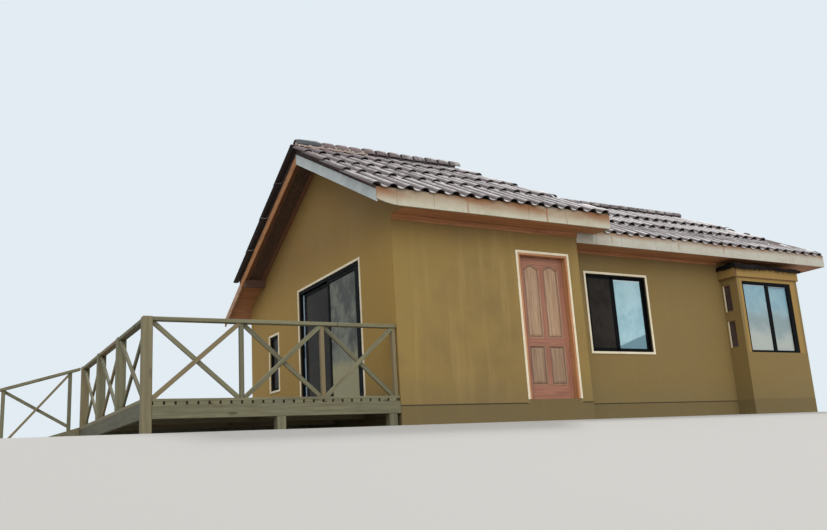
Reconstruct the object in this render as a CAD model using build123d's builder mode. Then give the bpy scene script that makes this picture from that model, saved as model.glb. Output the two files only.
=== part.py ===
from build123d import *
from math import atan, cos, degrees, radians, tan
import os

os.makedirs("parts", exist_ok=True)

# A small stucco and timber house on a plinth, in two parts set end to end, with a deck at its gable.
# Millimetres, +Z up, front facing -Y. The tall part, with the gable, is at the left; the low part,
# with the bay window, is at the right. The origin is at the middle of the footprint, on the ground.

# Walls
plinth_height = 300
wall = 120                # thickness of every outer wall
plinth_width = 240        # of the plinth's ring under the walls
floor_thickness = 40
tall_length = 3115        # along X, outside the walls
tall_depth = 5610         # along Y, outside the walls
low_length = 5470
low_depth = 3268
low_recess = 377          # the low part's front stands back from the tall part's

# Roofs: heights are above the plinth, and layers are measured plumb
front_pitch = 29.75
rear_pitch = 28.07
tile_layer = 60
frame_layer = 120
low_soffit_height = 2352  # the eaves and the bay's head follow this
soffit_step = 133         # the tall part's soffit over the low one's
tall_edge_rise = 209      # tile surface at the eave over its soffit
low_edge_rise = 220
eave_overhang = 386
gable_overhang = 392
hip_overhang = 348
rear_overhang = 360
tile_lip = 40             # the tiles pass the fascia by this
verge_lip = 18            # and the barge boards by this
tall_ridge_back = 2249    # ridge behind the front wall's face
tall_hip_run = 866        # plan length of the hip at the right end
low_hip_run = 1279
strip_run = 970           # bare lower strip of the rear slope, up from its eave
strip_drop = 100          # and its surface below the tiles' plane
strip_lap = 130           # the tiles run on over it
board = 22                # fascia and barge boards
soffit_board = 15
fascia_drop = 8           # below the soffit's underside
fascia_depth = 165
barge_depth = 165
strip_barge_depth = 135
fascia_sweep = 330        # length of the tall fascia's curved left end
fascia_sweep_rise = 62
cap_half = 120            # half the width of a ridge cap
cap_rise = 110
purlin_height = 95
purlin_width = 90
purlin_from_strip = 188
seam = 1                  # between slopes, and where the two roofs meet
joint = 5
overshoot = 500           # shapes that only cut run past the part by this

# Front door
door_from_corner = 193    # outside of the trim to the tall part's right corner
door_width = 954          # over the trim
door_height = 2100
door_sill = 46
trim = 35
trim_proud = 12
jamb = 30
leaf_thickness = 45
stile = 100
mullion = 82
bottom_rail = 200
lock_rail = 120
top_rail = 115
lower_panel = 540
arch_rise = 62
arch_shoulder = 24        # level part at each foot of an arch
groove = 16               # around each raised panel
groove_depth = 10
hinge_radius = 8
hinge_height = 100
hinge_plate = 36
clearance = 5             # around everything that moves
seat_gap = 0.3            # between a moving piece and what carries it

# Patio door
patio_start = 968         # outside of the trim, behind the front face
patio_width = 2319
patio_sill = 130
patio_height = 2013       # over the trim
patio_frame = 45
patio_frame_depth = 100
patio_set_back = 10       # frame, and then the fixed panel, behind the wall's face
panel_stile = 50
panel_thickness = 30
glass = 6
runner = 10

# Windows
small_start = 4182
small_width = 486
small_sill = 615
small_height = 1000
window_left = 399         # outside of the trim, from the inner corner
window_width = 1314
window_sill = 746
window_height = 1279
sash = 40                 # face width of the window frames
sash_depth = 60
meeting = 50
frame_set_back = 15       # frames behind the wall's face

# Bay
bay_left = 3445           # from the inner corner
bay_width = 1540
bay_projection = 337
bay_wall = 60
bay_sill = 765
bay_head = 60             # from the window's opening to the header
bay_gap = 144             # from the sheet on the header to the soffit
bay_left_post = 120
bay_right_post = 180
header_height = 165
header_lip = 40
sheet = 8                 # dark felt on the header
sheet_lip = 20            # past the header's left end
sheet_tip = 70            # and past its right end
light_gap = 154           # between the two side lights
light_foot = 105
light_head = 45
light_front = 150         # from the bay's front and back to a side light
light_back = 25
light_sash = 18

# Deck, ramp and railings
deck_length = 3135        # in front of the gable wall
deck_depth = 5600
deck_top = 119            # above the plinth
deck_board = 45
beam_height = 170
beam = 50
foot = 110
ramp_inset = 100          # from the deck's rear edge
ramp_width = 1200
ramp_run = 1465
ramp_post_set = 120       # from the deck's edge to the ramp's first post
ramp_post_gap = 900
stringer = 120
rail_height = 898         # above the deck
rail_depth = 45
rail_width = 90
corner_post = 110
side_post = 110
thin_post = 50
brace = 52
brace_depth = 28

# Heights that follow
tall_soffit_height = low_soffit_height + soffit_step
tall_edge_height = tall_soffit_height + tall_edge_rise
low_edge_height = low_soffit_height + low_edge_rise
bay_height = low_soffit_height - bay_gap - sheet - header_height - bay_head - bay_sill
light_height = (bay_height - light_foot - light_gap - light_head) / 2

# Faces of the two parts, from the overall footprint
left_reach = deck_length + ramp_run
right_reach = tall_length + low_length + hip_overhang
gable_x = (left_reach - right_reach) / 2
front_y = (eave_overhang + tile_lip - tall_depth - rear_overhang) / 2
corner_x = gable_x + tall_length
end_x = corner_x + low_length
rear_y = front_y + tall_depth
low_front_y = front_y + low_recess
low_rear_y = low_front_y + low_depth
floor_z = plinth_height + floor_thickness

# Roof edges and ridges at the tile surface
frame_drop = tile_layer + frame_layer
tall_edge_y = front_y - eave_overhang - tile_lip
tall_edge_z = plinth_height + tall_edge_height
tall_ridge_y = front_y + tall_ridge_back
tall_ridge_z = tall_edge_z + tan(radians(front_pitch)) * (tall_ridge_y - tall_edge_y)
tall_left = gable_x - gable_overhang - verge_lip
tall_right = corner_x + hip_overhang
tall_ridge_end = tall_right - tall_hip_run
rear_eave_y = rear_y + rear_overhang
strip_y = rear_eave_y - strip_run
tall_rear_edge_y = strip_y + strip_lap
low_edge_y = low_front_y - eave_overhang - tile_lip
low_edge_z = plinth_height + low_edge_height
low_ridge_y = low_front_y + low_depth / 2
low_ridge_z = low_edge_z + tan(radians(front_pitch)) * (low_ridge_y - low_edge_y)
low_rear_edge_y = 2 * low_ridge_y - low_edge_y
low_right = end_x + hip_overhang
low_ridge_end = low_right - low_hip_run
tall_hip_pitch = degrees(atan((tall_ridge_z - tall_edge_z) / tall_hip_run))
low_hip_pitch = degrees(atan((low_ridge_z - low_edge_z) / low_hip_run))
sky = tall_ridge_z + overshoot


def tall_z(y):
    """Tile surface of the tall part's front and rear slopes."""
    front = tall_ridge_z - tan(radians(front_pitch)) * (tall_ridge_y - y)
    return min(front, tall_ridge_z - tan(radians(rear_pitch)) * (y - tall_ridge_y))


def low_z(y):
    """Tile surface of the low part's two slopes."""
    return low_ridge_z - tan(radians(front_pitch)) * abs(y - low_ridge_y)


def hip_drop(drop, pitch):
    """A layer's plumb depth on a hip, as thick square to the slope as on the front."""
    return drop * cos(radians(front_pitch)) / cos(radians(pitch))


def tall_hip_z(x):
    return tall_edge_z + tan(radians(tall_hip_pitch)) * (tall_right - x)


def low_hip_z(x):
    return low_edge_z + tan(radians(low_hip_pitch)) * (low_right - x)


def under(height, ridge_y, y, foot_z, drop):
    """Outline in Y and Z from a level foot up to a roof's surface, lowered by drop."""
    ridge = [(ridge_y, height(ridge_y) - drop)] if y[0] < ridge_y < y[1] else []
    front_top, rear_top = height(y[0]) - drop, height(y[1]) - drop
    return [(y[0], foot_z), (y[1], foot_z), (y[1], rear_top), *ridge, (y[0], front_top)]


def layer(height, a, b, top, bottom):
    """Outline of a sloping layer from a to b, between two drops below the surface."""
    return [(a, height(a) - bottom), (b, height(b) - bottom), (b, height(b) - top), (a, height(a) - top)]


def rect(a, b, mode=Mode.ADD):
    """A rectangle in the sketch, between a pair of edges each way."""
    with Locations(((a[0] + a[1]) / 2, (b[0] + b[1]) / 2)):
        Rectangle(a[1] - a[0], b[1] - b[0], mode=mode)


def ring(a, b, width):
    """A rectangular frame in the sketch."""
    rect(a, b)
    rect((a[0] + width, a[1] - width), (b[0] + width, b[1] - width), Mode.SUBTRACT)


def grow(pair, amount):
    return (pair[0] - amount, pair[1] + amount)


def write(piece, name):
    piece.part.label = name
    export_step(piece.part, f"parts/{name}.step")


# Everything below the frame of each roof: the walls are cut to these
with BuildPart() as tall_hollow:
    with BuildSketch(Plane.YZ.offset(tall_left)):
        Polygon(*under(tall_z, tall_ridge_y, (tall_edge_y, rear_eave_y), 0, frame_drop), align=None)
    extrude(amount=tall_right - tall_left)
    with BuildSketch(Plane.XZ.offset(-rear_eave_y)):
        side = hip_drop(frame_drop, tall_hip_pitch)
        past_ridge = tall_ridge_end - overshoot
        Polygon((tall_left, 0), (tall_right, 0), (tall_right, tall_edge_z - side),
                (past_ridge, tall_hip_z(past_ridge) - side), (tall_left, tall_hip_z(past_ridge) - side),
                align=None)
    extrude(amount=rear_eave_y - tall_edge_y, mode=Mode.INTERSECT)

with BuildPart() as low_hollow:
    with BuildSketch(Plane.YZ.offset(gable_x)):
        Polygon(*under(low_z, low_ridge_y, (low_edge_y, low_rear_edge_y), 0, frame_drop), align=None)
    extrude(amount=low_right - gable_x)
    with BuildSketch(Plane.XZ.offset(-low_rear_edge_y)):
        side = hip_drop(frame_drop, low_hip_pitch)
        past_ridge = low_ridge_end - overshoot
        Polygon((gable_x, 0), (low_right, 0), (low_right, low_edge_z - side),
                (past_ridge, low_hip_z(past_ridge) - side), (gable_x, low_hip_z(past_ridge) - side),
                align=None)
    extrude(amount=low_rear_edge_y - low_edge_y, mode=Mode.INTERSECT)

# The low roof's mass, which the tall roof's hip comes down onto
with BuildPart() as low_mass:
    with BuildSketch(Plane.YZ.offset(tall_ridge_end - overshoot)):
        low_span = (low_edge_y - joint, low_rear_edge_y + joint)
        Polygon(*under(low_z, low_ridge_y, low_span, 0, -joint), align=None)
    extrude(amount=low_right - tall_ridge_end + 2 * overshoot)

# Plinth: a concrete ring that follows both parts, with a pad under the bay
bay_x = (corner_x + bay_left, corner_x + bay_left + bay_width)
bay_y = (low_front_y - bay_projection, low_front_y)
with BuildPart() as plinth:
    with BuildSketch():
        rect((gable_x, corner_x), (front_y, rear_y))
        rect((corner_x, end_x), (low_front_y, low_rear_y))
        rect((gable_x + plinth_width, corner_x - plinth_width),
             (front_y + plinth_width, rear_y - plinth_width), Mode.SUBTRACT)
        rect((corner_x - plinth_width, end_x - plinth_width),
             (low_front_y + plinth_width, low_rear_y - plinth_width), Mode.SUBTRACT)
        rect(bay_x, bay_y)
    extrude(amount=plinth_height)
write(plinth, "plinth")

with BuildPart() as floor:
    with BuildSketch(Plane.XY.offset(plinth_height)):
        rect((gable_x + wall, corner_x - wall), (front_y + wall, rear_y - wall))
        rect((corner_x - wall, end_x - wall), (low_front_y + wall, low_rear_y - wall))
    extrude(amount=floor_thickness)
write(floor, "floor")

# Gable wall, drawn in elevation under the roof and split at the patio door
patio_y = (front_y + patio_start + trim, front_y + patio_start + patio_width - trim)
patio_z = (plinth_height + patio_sill, plinth_height + patio_sill + patio_height - trim)
small_y = (front_y + small_start + trim, front_y + small_start + small_width - trim)
small_z = (plinth_height + small_sill + trim, plinth_height + small_sill + small_height - trim)
gable_plane = Plane.YZ.offset(gable_x)

with BuildPart() as gable_wall_front:
    with BuildSketch(gable_plane):
        Polygon(*under(tall_z, tall_ridge_y, (front_y, patio_y[0]), plinth_height, frame_drop), align=None)
    extrude(amount=wall)
    with BuildSketch(gable_plane):  # its cheek, which closes the end of the boxed eave
        cheek_y = (front_y - eave_overhang + board, front_y - seam)
        Polygon(*under(tall_z, tall_ridge_y, cheek_y, plinth_height + tall_soffit_height, frame_drop),
                align=None)
    extrude(amount=board)
write(gable_wall_front, "gable_wall_front")

with BuildPart() as gable_wall_over_patio_door:
    with BuildSketch(gable_plane):
        Polygon(*under(tall_z, tall_ridge_y, patio_y, patio_z[1], frame_drop), align=None)
    extrude(amount=wall)
write(gable_wall_over_patio_door, "gable_wall_over_patio_door")

with BuildPart() as gable_wall_rear:
    with BuildSketch(gable_plane):
        Polygon(*under(tall_z, tall_ridge_y, (patio_y[1], rear_y), plinth_height, frame_drop), align=None)
        rect(small_y, small_z, Mode.SUBTRACT)
    extrude(amount=wall)
write(gable_wall_rear, "gable_wall_rear")

with BuildPart() as patio_sill_block:
    with BuildSketch(gable_plane):
        rect(patio_y, (plinth_height, patio_z[0]))
    extrude(amount=wall)
write(patio_sill_block, "patio_sill")

# Front wall of the tall part, split at the door; its head is cut to the slope of the roof
door_outer = (corner_x - door_from_corner - door_width, corner_x - door_from_corner)
door_x = (door_outer[0] + trim, door_outer[1] - trim)
door_z = (plinth_height + door_sill, plinth_height + door_sill + door_height - trim)
front_span = (front_y, front_y + wall)

with BuildPart() as front_wall_left:
    with BuildSketch(Plane.YZ.offset(gable_x + wall)):
        Polygon(*under(tall_z, tall_ridge_y, front_span, plinth_height, frame_drop), align=None)
    extrude(amount=door_x[0] - gable_x - wall)
write(front_wall_left, "front_wall_left")

with BuildPart() as front_wall_over_door:
    with BuildSketch(Plane.YZ.offset(door_x[0])):
        Polygon(*under(tall_z, tall_ridge_y, front_span, door_z[1], frame_drop), align=None)
    extrude(amount=door_x[1] - door_x[0])
write(front_wall_over_door, "front_wall_over_door")

with BuildPart() as front_wall_right:
    with BuildSketch(Plane.YZ.offset(door_x[1])):
        Polygon(*under(tall_z, tall_ridge_y, front_span, plinth_height, frame_drop), align=None)
    extrude(amount=corner_x - door_x[1])
    add(tall_hollow.part, mode=Mode.INTERSECT)
write(front_wall_right, "front_wall_right")

# Right wall of the tall part: the return at the front, and the length behind the low part
with BuildPart() as tall_side_walls:
    with BuildSketch(Plane.XY.offset(plinth_height)):
        for span in ((front_y + wall, low_front_y + wall), (low_rear_y - wall, rear_y - wall)):
            rect((corner_x - wall, corner_x), span)
    extrude(amount=sky)
    add(tall_hollow.part, mode=Mode.INTERSECT)
write(tall_side_walls, "tall_side_walls")

with BuildPart() as tall_rear_wall:
    with BuildSketch(Plane.XY.offset(plinth_height)):
        rect((gable_x + wall, corner_x), (rear_y - wall, rear_y))
    extrude(amount=sky)
    add(tall_hollow.part, mode=Mode.INTERSECT)
write(tall_rear_wall, "tall_rear_wall")

# Walls of the low part, with the window's and the bay's openings
window_x = (corner_x + window_left + trim, corner_x + window_left + window_width - trim)
window_z = (plinth_height + window_sill + trim, plinth_height + window_sill + window_height - trim)
bay_z = (plinth_height + bay_sill, plinth_height + bay_sill + bay_height + bay_head)
with BuildPart() as low_front_wall:
    with BuildSketch(Plane.XY.offset(plinth_height)):
        rect((corner_x, end_x), (low_front_y, low_front_y + wall))
    extrude(amount=sky)
    add(low_hollow.part, mode=Mode.INTERSECT)
    with BuildSketch(Plane.XZ.offset(-low_front_y - wall)):
        rect(window_x, window_z)
        rect(grow(bay_x, -bay_wall), bay_z)
    extrude(amount=wall, mode=Mode.SUBTRACT)
write(low_front_wall, "low_front_wall")

with BuildPart() as low_end_wall:
    with BuildSketch(Plane.XY.offset(plinth_height)):
        rect((end_x - wall, end_x), (low_front_y + wall, low_rear_y - wall))
    extrude(amount=sky)
    add(low_hollow.part, mode=Mode.INTERSECT)
write(low_end_wall, "low_end_wall")

with BuildPart() as low_rear_wall:
    with BuildSketch(Plane.XY.offset(plinth_height)):
        rect((corner_x, end_x), (low_rear_y - wall, low_rear_y))
    extrude(amount=sky)
    add(low_hollow.part, mode=Mode.INTERSECT)
write(low_rear_wall, "low_rear_wall")

# Heights of the eaves' boards
tall_soffit_z = plinth_height + tall_soffit_height
low_soffit_z = plinth_height + low_soffit_height
tall_fascia_y = (front_y - eave_overhang, front_y - eave_overhang + board)
low_fascia_y = (low_front_y - eave_overhang, low_rear_y + eave_overhang)


def slope(outline, x, plan, foot_z=0):
    """A roof layer: its outline in Y and Z run along X, and cut to a shape in plan."""
    with BuildPart() as piece:
        with BuildSketch(Plane.YZ.offset(x[0])):
            Polygon(*outline, align=None)
        extrude(amount=x[1] - x[0])
        with BuildSketch(Plane.XY.offset(foot_z)):
            Polygon(*plan, align=None)
        extrude(amount=sky, mode=Mode.INTERSECT)
    return piece.part


def hip(outline, y, plan, foot_z=0):
    """The same at a hip, where the outline is in X and Z and runs along Y."""
    with BuildPart() as piece:
        with BuildSketch(Plane.XZ.offset(-y[1])):
            Polygon(*outline, align=None)
        extrude(amount=y[1] - y[0])
        with BuildSketch(Plane.XY.offset(foot_z)):
            Polygon(*plan, align=None)
        extrude(amount=sky, mode=Mode.INTERSECT)
    return piece.part


def tall_layer(top, bottom, left, right, front, rear, foot_z=0):
    """Front and rear slopes of the tall roof, and its hip in bands around the low roof."""
    outline_end = tall_ridge_end - seam
    plan_front = [(left, front), (tall_right - seam, front), (tall_right - seam, tall_edge_y),
                  (outline_end, tall_ridge_y - seam / 2), (left, tall_ridge_y - seam / 2)]
    plan_rear = [(left, tall_ridge_y + seam / 2), (outline_end, tall_ridge_y + seam / 2),
                 (tall_right - seam, tall_rear_edge_y), (tall_right - seam, rear), (left, rear)]
    pieces = [
        slope(layer(tall_z, front, tall_ridge_y, top, bottom), (left, right), plan_front, foot_z),
        slope(layer(tall_z, tall_ridge_y, rear, top, bottom), (left, right), plan_rear, foot_z)]
    side_top, side_bottom = hip_drop(top, tall_hip_pitch), hip_drop(bottom, tall_hip_pitch)
    stops = [front, low_edge_y - joint, low_ridge_y, low_rear_edge_y + joint, rear]
    bands = list(zip(stops, stops[1:]))
    plan_hip = [(tall_ridge_end, tall_ridge_y), (tall_right, tall_edge_y), (tall_right, tall_rear_edge_y)]
    for band in bands:
        with BuildPart() as piece:
            add(hip(layer(tall_hip_z, tall_ridge_end, right, side_top, side_bottom), grow(band, -seam / 2),
                    plan_hip, foot_z))
            add(low_mass.part, mode=Mode.SUBTRACT)
        pieces.append(piece.part)
    return pieces


def low_layer(top, bottom, right, front, rear):
    """Front and rear slopes of the low roof, its hip, and the saddle under the tall roof's hip."""
    left = corner_x + seam
    plan_front = [(left, front), (low_right - seam, front), (low_right - seam, low_edge_y),
                  (low_ridge_end - seam, low_ridge_y - seam / 2), (left, low_ridge_y - seam / 2)]
    plan_rear = [(left, low_ridge_y + seam / 2), (low_ridge_end - seam, low_ridge_y + seam / 2),
                 (low_right - seam, low_rear_edge_y), (low_right - seam, rear), (left, rear)]
    plan_hip = [(low_ridge_end, low_ridge_y), (low_right, low_edge_y), (low_right, low_rear_edge_y)]
    meet = (low_ridge_z - tall_edge_z) / tan(radians(tall_hip_pitch)) - hip_overhang + frame_drop
    spread = (low_ridge_z - tall_hip_z(corner_x)) / tan(radians(front_pitch)) + frame_drop
    saddle_front = [(corner_x, low_ridge_y - spread), (corner_x, low_ridge_y - seam / 2),
                    (corner_x - meet, low_ridge_y - seam / 2)]
    saddle_rear = [(x, 2 * low_ridge_y - y) for x, y in saddle_front]
    side_top, side_bottom = hip_drop(top, low_hip_pitch), hip_drop(bottom, low_hip_pitch)
    front_outline = layer(low_z, front, low_ridge_y, top, bottom)
    rear_outline = layer(low_z, low_ridge_y, rear, top, bottom)
    return [
        slope(front_outline, (left, right), plan_front), slope(rear_outline, (left, right), plan_rear),
        hip(layer(low_hip_z, low_ridge_end, right, side_top, side_bottom), (front, rear), plan_hip),
        slope(front_outline, (corner_x - meet, corner_x), saddle_front),
        slope(rear_outline, (corner_x - meet, corner_x), saddle_rear)]


tall_tile_pieces = tall_layer(0, tile_layer, tall_left, tall_right, tall_edge_y, tall_rear_edge_y)
with BuildPart() as tall_roof_tiles:
    add(tall_tile_pieces)
write(tall_roof_tiles, "tall_roof_tiles")

tall_frame_pieces = tall_layer(tile_layer, frame_drop, gable_x - gable_overhang + board, tall_right - board,
                               tall_fascia_y[1], strip_y, tall_soffit_z + soffit_board)
with BuildPart() as tall_roof_frame:
    add(tall_frame_pieces)
write(tall_roof_frame, "tall_roof_frame")

low_tile_pieces = low_layer(0, tile_layer, low_right, low_edge_y, low_rear_edge_y)
with BuildPart() as low_roof_tiles:
    add(low_tile_pieces)
write(low_roof_tiles, "low_roof_tiles")

low_frame_pieces = low_layer(tile_layer, frame_drop, low_right - board, low_fascia_y[0] + board,
                             low_fascia_y[1] - board)
with BuildPart() as low_roof_frame:
    add(low_frame_pieces)
write(low_roof_frame, "low_roof_frame")

# Bare strip at the foot of the rear slope, set lower than the tiles, with a board at each end
with BuildPart() as rear_eave_strip:
    with BuildSketch(Plane.YZ.offset(gable_x - gable_overhang + board)):
        Polygon(*layer(tall_z, strip_y, rear_eave_y, strip_drop, frame_drop), align=None)
    extrude(amount=tall_right - gable_x + gable_overhang - 2 * board)
    add(tall_roof_tiles.part, mode=Mode.SUBTRACT)
write(rear_eave_strip, "rear_eave_strip")

with BuildPart() as strip_barge_boards:
    for x in (gable_x - gable_overhang, tall_right - board):
        with BuildSketch(Plane.YZ.offset(x)):
            Polygon(*layer(tall_z, strip_y, rear_eave_y, strip_drop, strip_drop + strip_barge_depth),
                    align=None)
        extrude(amount=board)
    add(tall_roof_tiles.part, mode=Mode.SUBTRACT)
write(strip_barge_boards, "strip_barge_boards")

# Half-round ridge caps that sit on both slopes
tall_cap_feet = [(y, tall_z(y)) for y in (tall_ridge_y - cap_half, tall_ridge_y + cap_half)]
with BuildPart() as tall_ridge_caps:
    with BuildSketch(Plane.YZ.offset(tall_left)):
        with BuildLine():
            ThreePointArc(tall_cap_feet[0], (tall_ridge_y, tall_ridge_z + cap_rise), tall_cap_feet[1])
            Polyline(tall_cap_feet[1], (tall_ridge_y, tall_ridge_z), tall_cap_feet[0])
        make_face()
    extrude(amount=tall_ridge_end - tall_left)
write(tall_ridge_caps, "tall_ridge_caps")

low_cap_top = low_ridge_z + cap_rise
low_cap_start = tall_right - (low_cap_top - tall_edge_z) / tan(radians(tall_hip_pitch)) + cap_half
low_cap_feet = [(y, low_z(y)) for y in (low_ridge_y - cap_half, low_ridge_y + cap_half)]
with BuildPart() as low_ridge_caps:
    with BuildSketch(Plane.YZ.offset(low_cap_start)):
        with BuildLine():
            ThreePointArc(low_cap_feet[0], (low_ridge_y, low_cap_top), low_cap_feet[1])
            Polyline(low_cap_feet[1], (low_ridge_y, low_ridge_z), low_cap_feet[0])
        make_face()
    extrude(amount=low_ridge_end - low_cap_start)
    add(tall_roof_tiles.part, mode=Mode.SUBTRACT)
write(low_ridge_caps, "low_ridge_caps")

# Fascia under the tall front eave: its left end sweeps up to meet the barge board
fascia_z = (tall_soffit_z - fascia_drop, tall_soffit_z - fascia_drop + fascia_depth)
sweep_top = fascia_z[0] + fascia_sweep_rise
fascia_cut_y = grow(tall_fascia_y, joint)
fascia_x = (gable_x - gable_overhang, tall_right)
with BuildPart() as tall_fascia:
    with BuildSketch(Plane.XZ.offset(-tall_fascia_y[1])):
        with BuildLine():
            Line((fascia_x[1], fascia_z[0]), (fascia_x[0] + fascia_sweep, fascia_z[0]))
            Spline((fascia_x[0] + fascia_sweep, fascia_z[0]), (fascia_x[0], sweep_top),
                   tangents=((-1, 0), (-0.92, 0.4)))
            Polyline((fascia_x[0], sweep_top), (fascia_x[0], fascia_z[1]), (fascia_x[1], fascia_z[1]),
                     (fascia_x[1], fascia_z[0]))
        make_face()
    extrude(amount=board)
    with BuildSketch(Plane.YZ.offset(fascia_x[0])):
        Polygon(*layer(tall_z, *fascia_cut_y, tile_layer, tile_layer + overshoot), align=None)
    extrude(amount=fascia_x[1] - fascia_x[0], mode=Mode.INTERSECT)
    add(tall_roof_tiles.part, mode=Mode.SUBTRACT)
write(tall_fascia, "tall_fascia")

# Fascia around the tall part's right corner, and the one at the foot of its hip behind the low part
with BuildPart() as hip_fascia:
    with BuildSketch(Plane.XY.offset(fascia_z[0])):
        rect((tall_right - board, tall_right), (tall_fascia_y[1], low_edge_y - joint))
        rect((tall_right - board, tall_right), (low_rear_edge_y + joint, strip_y))
    extrude(amount=tall_edge_z - hip_drop(tile_layer, tall_hip_pitch) - fascia_z[0])
write(hip_fascia, "hip_fascia")

with BuildPart() as tall_soffit:
    with BuildSketch(Plane.XY.offset(tall_soffit_z)):
        rect((gable_x + board, tall_right - board), (tall_fascia_y[1], low_edge_y - joint))
        rect((gable_x + board, corner_x), (tall_fascia_y[1], front_y))
    extrude(amount=soffit_board)
write(tall_soffit, "tall_soffit")

with BuildPart() as low_fascia:
    with BuildSketch(Plane.XY.offset(low_soffit_z - fascia_drop)):
        rect((corner_x, low_right), low_fascia_y)
        rect((corner_x, low_right - board), grow(low_fascia_y, -board), Mode.SUBTRACT)
    extrude(amount=fascia_depth)
    add(low_roof_tiles.part, mode=Mode.SUBTRACT)
write(low_fascia, "low_fascia")

with BuildPart() as low_soffit:
    with BuildSketch(Plane.XY.offset(low_soffit_z)):
        rect((corner_x, low_right - board), grow(low_fascia_y, -board))
        rect((corner_x, end_x), (low_front_y, low_rear_y), Mode.SUBTRACT)
    extrude(amount=soffit_board)
write(low_soffit, "low_soffit")

# Barge boards up the gable, and the purlin that carries them to the wall
with BuildPart() as front_barge_board:
    with BuildSketch(Plane.YZ.offset(gable_x - gable_overhang)):
        Polygon(*layer(tall_z, tall_fascia_y[1], tall_ridge_y, tile_layer, tile_layer + barge_depth),
                align=None)
    extrude(amount=board)
write(front_barge_board, "front_barge_board")

with BuildPart() as rear_barge_board:
    with BuildSketch(Plane.YZ.offset(gable_x - gable_overhang)):
        Polygon(*layer(tall_z, tall_ridge_y, strip_y, tile_layer, tile_layer + barge_depth),
                align=None)
    extrude(amount=board)
write(rear_barge_board, "rear_barge_board")

purlin_y = (strip_y - purlin_from_strip, strip_y - purlin_from_strip + purlin_width)
with BuildPart() as purlin_end:
    with BuildSketch(Plane.YZ.offset(gable_x - gable_overhang + board)):
        Polygon((purlin_y[0], tall_z(purlin_y[1]) - frame_drop - purlin_height),
                (purlin_y[1], tall_z(purlin_y[1]) - frame_drop - purlin_height),
                (purlin_y[1], tall_z(purlin_y[1]) - frame_drop),
                (purlin_y[0], tall_z(purlin_y[0]) - frame_drop), align=None)
    extrude(amount=gable_overhang - board)
write(purlin_end, "purlin_end")

# Front door: trim on the wall's face, and a jamb and head that line the opening
with BuildPart() as front_door_frame:
    with BuildSketch(Plane.XZ.offset(-front_y)):
        rect(door_outer, (door_z[0], door_z[1] + trim))
        rect(door_x, door_z, Mode.SUBTRACT)
    extrude(amount=trim_proud)
    with BuildSketch(Plane.XZ.offset(-front_y - wall)):
        rect(door_x, door_z)
        rect(grow(door_x, -jamb), (door_z[0], door_z[1] - jamb), Mode.SUBTRACT)
    extrude(amount=wall + trim_proud)
write(front_door_frame, "front_door_frame")

with BuildPart() as front_door_sill:
    with BuildSketch(Plane.XY.offset(plinth_height)):
        rect(door_x, front_span)
    extrude(amount=door_sill)
write(front_door_sill, "front_door_sill")


def panel_face(x, z, rise, inset):
    """A door panel's face: square below, and on top an arch on shoulders if it has a rise."""
    left, right, low, top = x[0] + inset, x[1] - inset, z[0] + inset, z[1] - inset
    middle, shoulder = (left + right) / 2, top - rise
    with BuildSketch() as face:
        with BuildLine():
            if rise:
                foot_left, foot_right = left + arch_shoulder, right - arch_shoulder
                Polyline((foot_left, shoulder), (left, shoulder), (left, low), (right, low),
                         (right, shoulder), (foot_right, shoulder))
                ThreePointArc((foot_right, shoulder), (middle, top), (foot_left, shoulder))
            else:
                Polyline((left, top), (left, low), (right, low), (right, top), close=True)
        make_face()
    return face.sketch


leaf_x = (door_x[0] + jamb + clearance, door_x[1] - jamb - clearance)
leaf_y = (front_y + wall - leaf_thickness, front_y + wall)
leaf_z = (door_z[0] + clearance, door_z[1] - jamb - clearance)
leaf_middle = (leaf_x[0] + leaf_x[1]) / 2
lower_z = (leaf_z[0] + bottom_rail, leaf_z[0] + bottom_rail + lower_panel)
upper_z = (lower_z[1] + lock_rail, leaf_z[1] - top_rail)
panels = [(x, z, rise) for x in ((leaf_x[0] + stile, leaf_middle - mullion / 2),
                                 (leaf_middle + mullion / 2, leaf_x[1] - stile))
          for z, rise in ((lower_z, 0), (upper_z, arch_rise))]
panel_outside = [panel_face(x, z, rise, 0) for x, z, rise in panels]
panel_field = [panel_face(x, z, rise, groove) for x, z, rise in panels]
with BuildPart() as front_door:
    with BuildSketch(Plane.XZ.offset(-leaf_y[1])):
        rect(leaf_x, leaf_z)
    extrude(amount=leaf_thickness)
    for face_y in (leaf_y[0] + groove_depth, leaf_y[1]):
        with BuildSketch(Plane.XZ.offset(-face_y)):
            add(panel_outside)
            add(panel_field, mode=Mode.SUBTRACT)
        extrude(amount=groove_depth, mode=Mode.SUBTRACT)
write(front_door, "front_door")

# Hinges: a barrel that the leaf all but touches, and a plate on the jamb
hinge_x = leaf_x[1] + clearance / 2
hinge_y = leaf_y[1] + hinge_radius + seat_gap
hinge_feet = [leaf_z[0] + bottom_rail, (leaf_z[0] + leaf_z[1] - hinge_height) / 2,
              leaf_z[1] - bottom_rail - hinge_height]
with BuildPart() as front_door_hinges:
    for z in hinge_feet:
        with BuildSketch(Plane.XY.offset(z)):
            with Locations((hinge_x, hinge_y)):
                Circle(hinge_radius)
            rect((hinge_x, hinge_x + hinge_plate), (front_y + wall, front_y + wall + hinge_radius / 2))
        extrude(amount=hinge_height)
write(front_door_hinges, "front_door_hinges")

# Patio door: trim, a frame with a runner, a fixed panel in front and a sliding one behind it
with BuildPart() as patio_door_trim:
    with BuildSketch(Plane.YZ.offset(gable_x - trim_proud)):
        rect(grow(patio_y, trim), (patio_z[0], patio_z[1] + trim))
        rect(patio_y, patio_z, Mode.SUBTRACT)
    extrude(amount=trim_proud)
write(patio_door_trim, "patio_door_trim")

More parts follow.
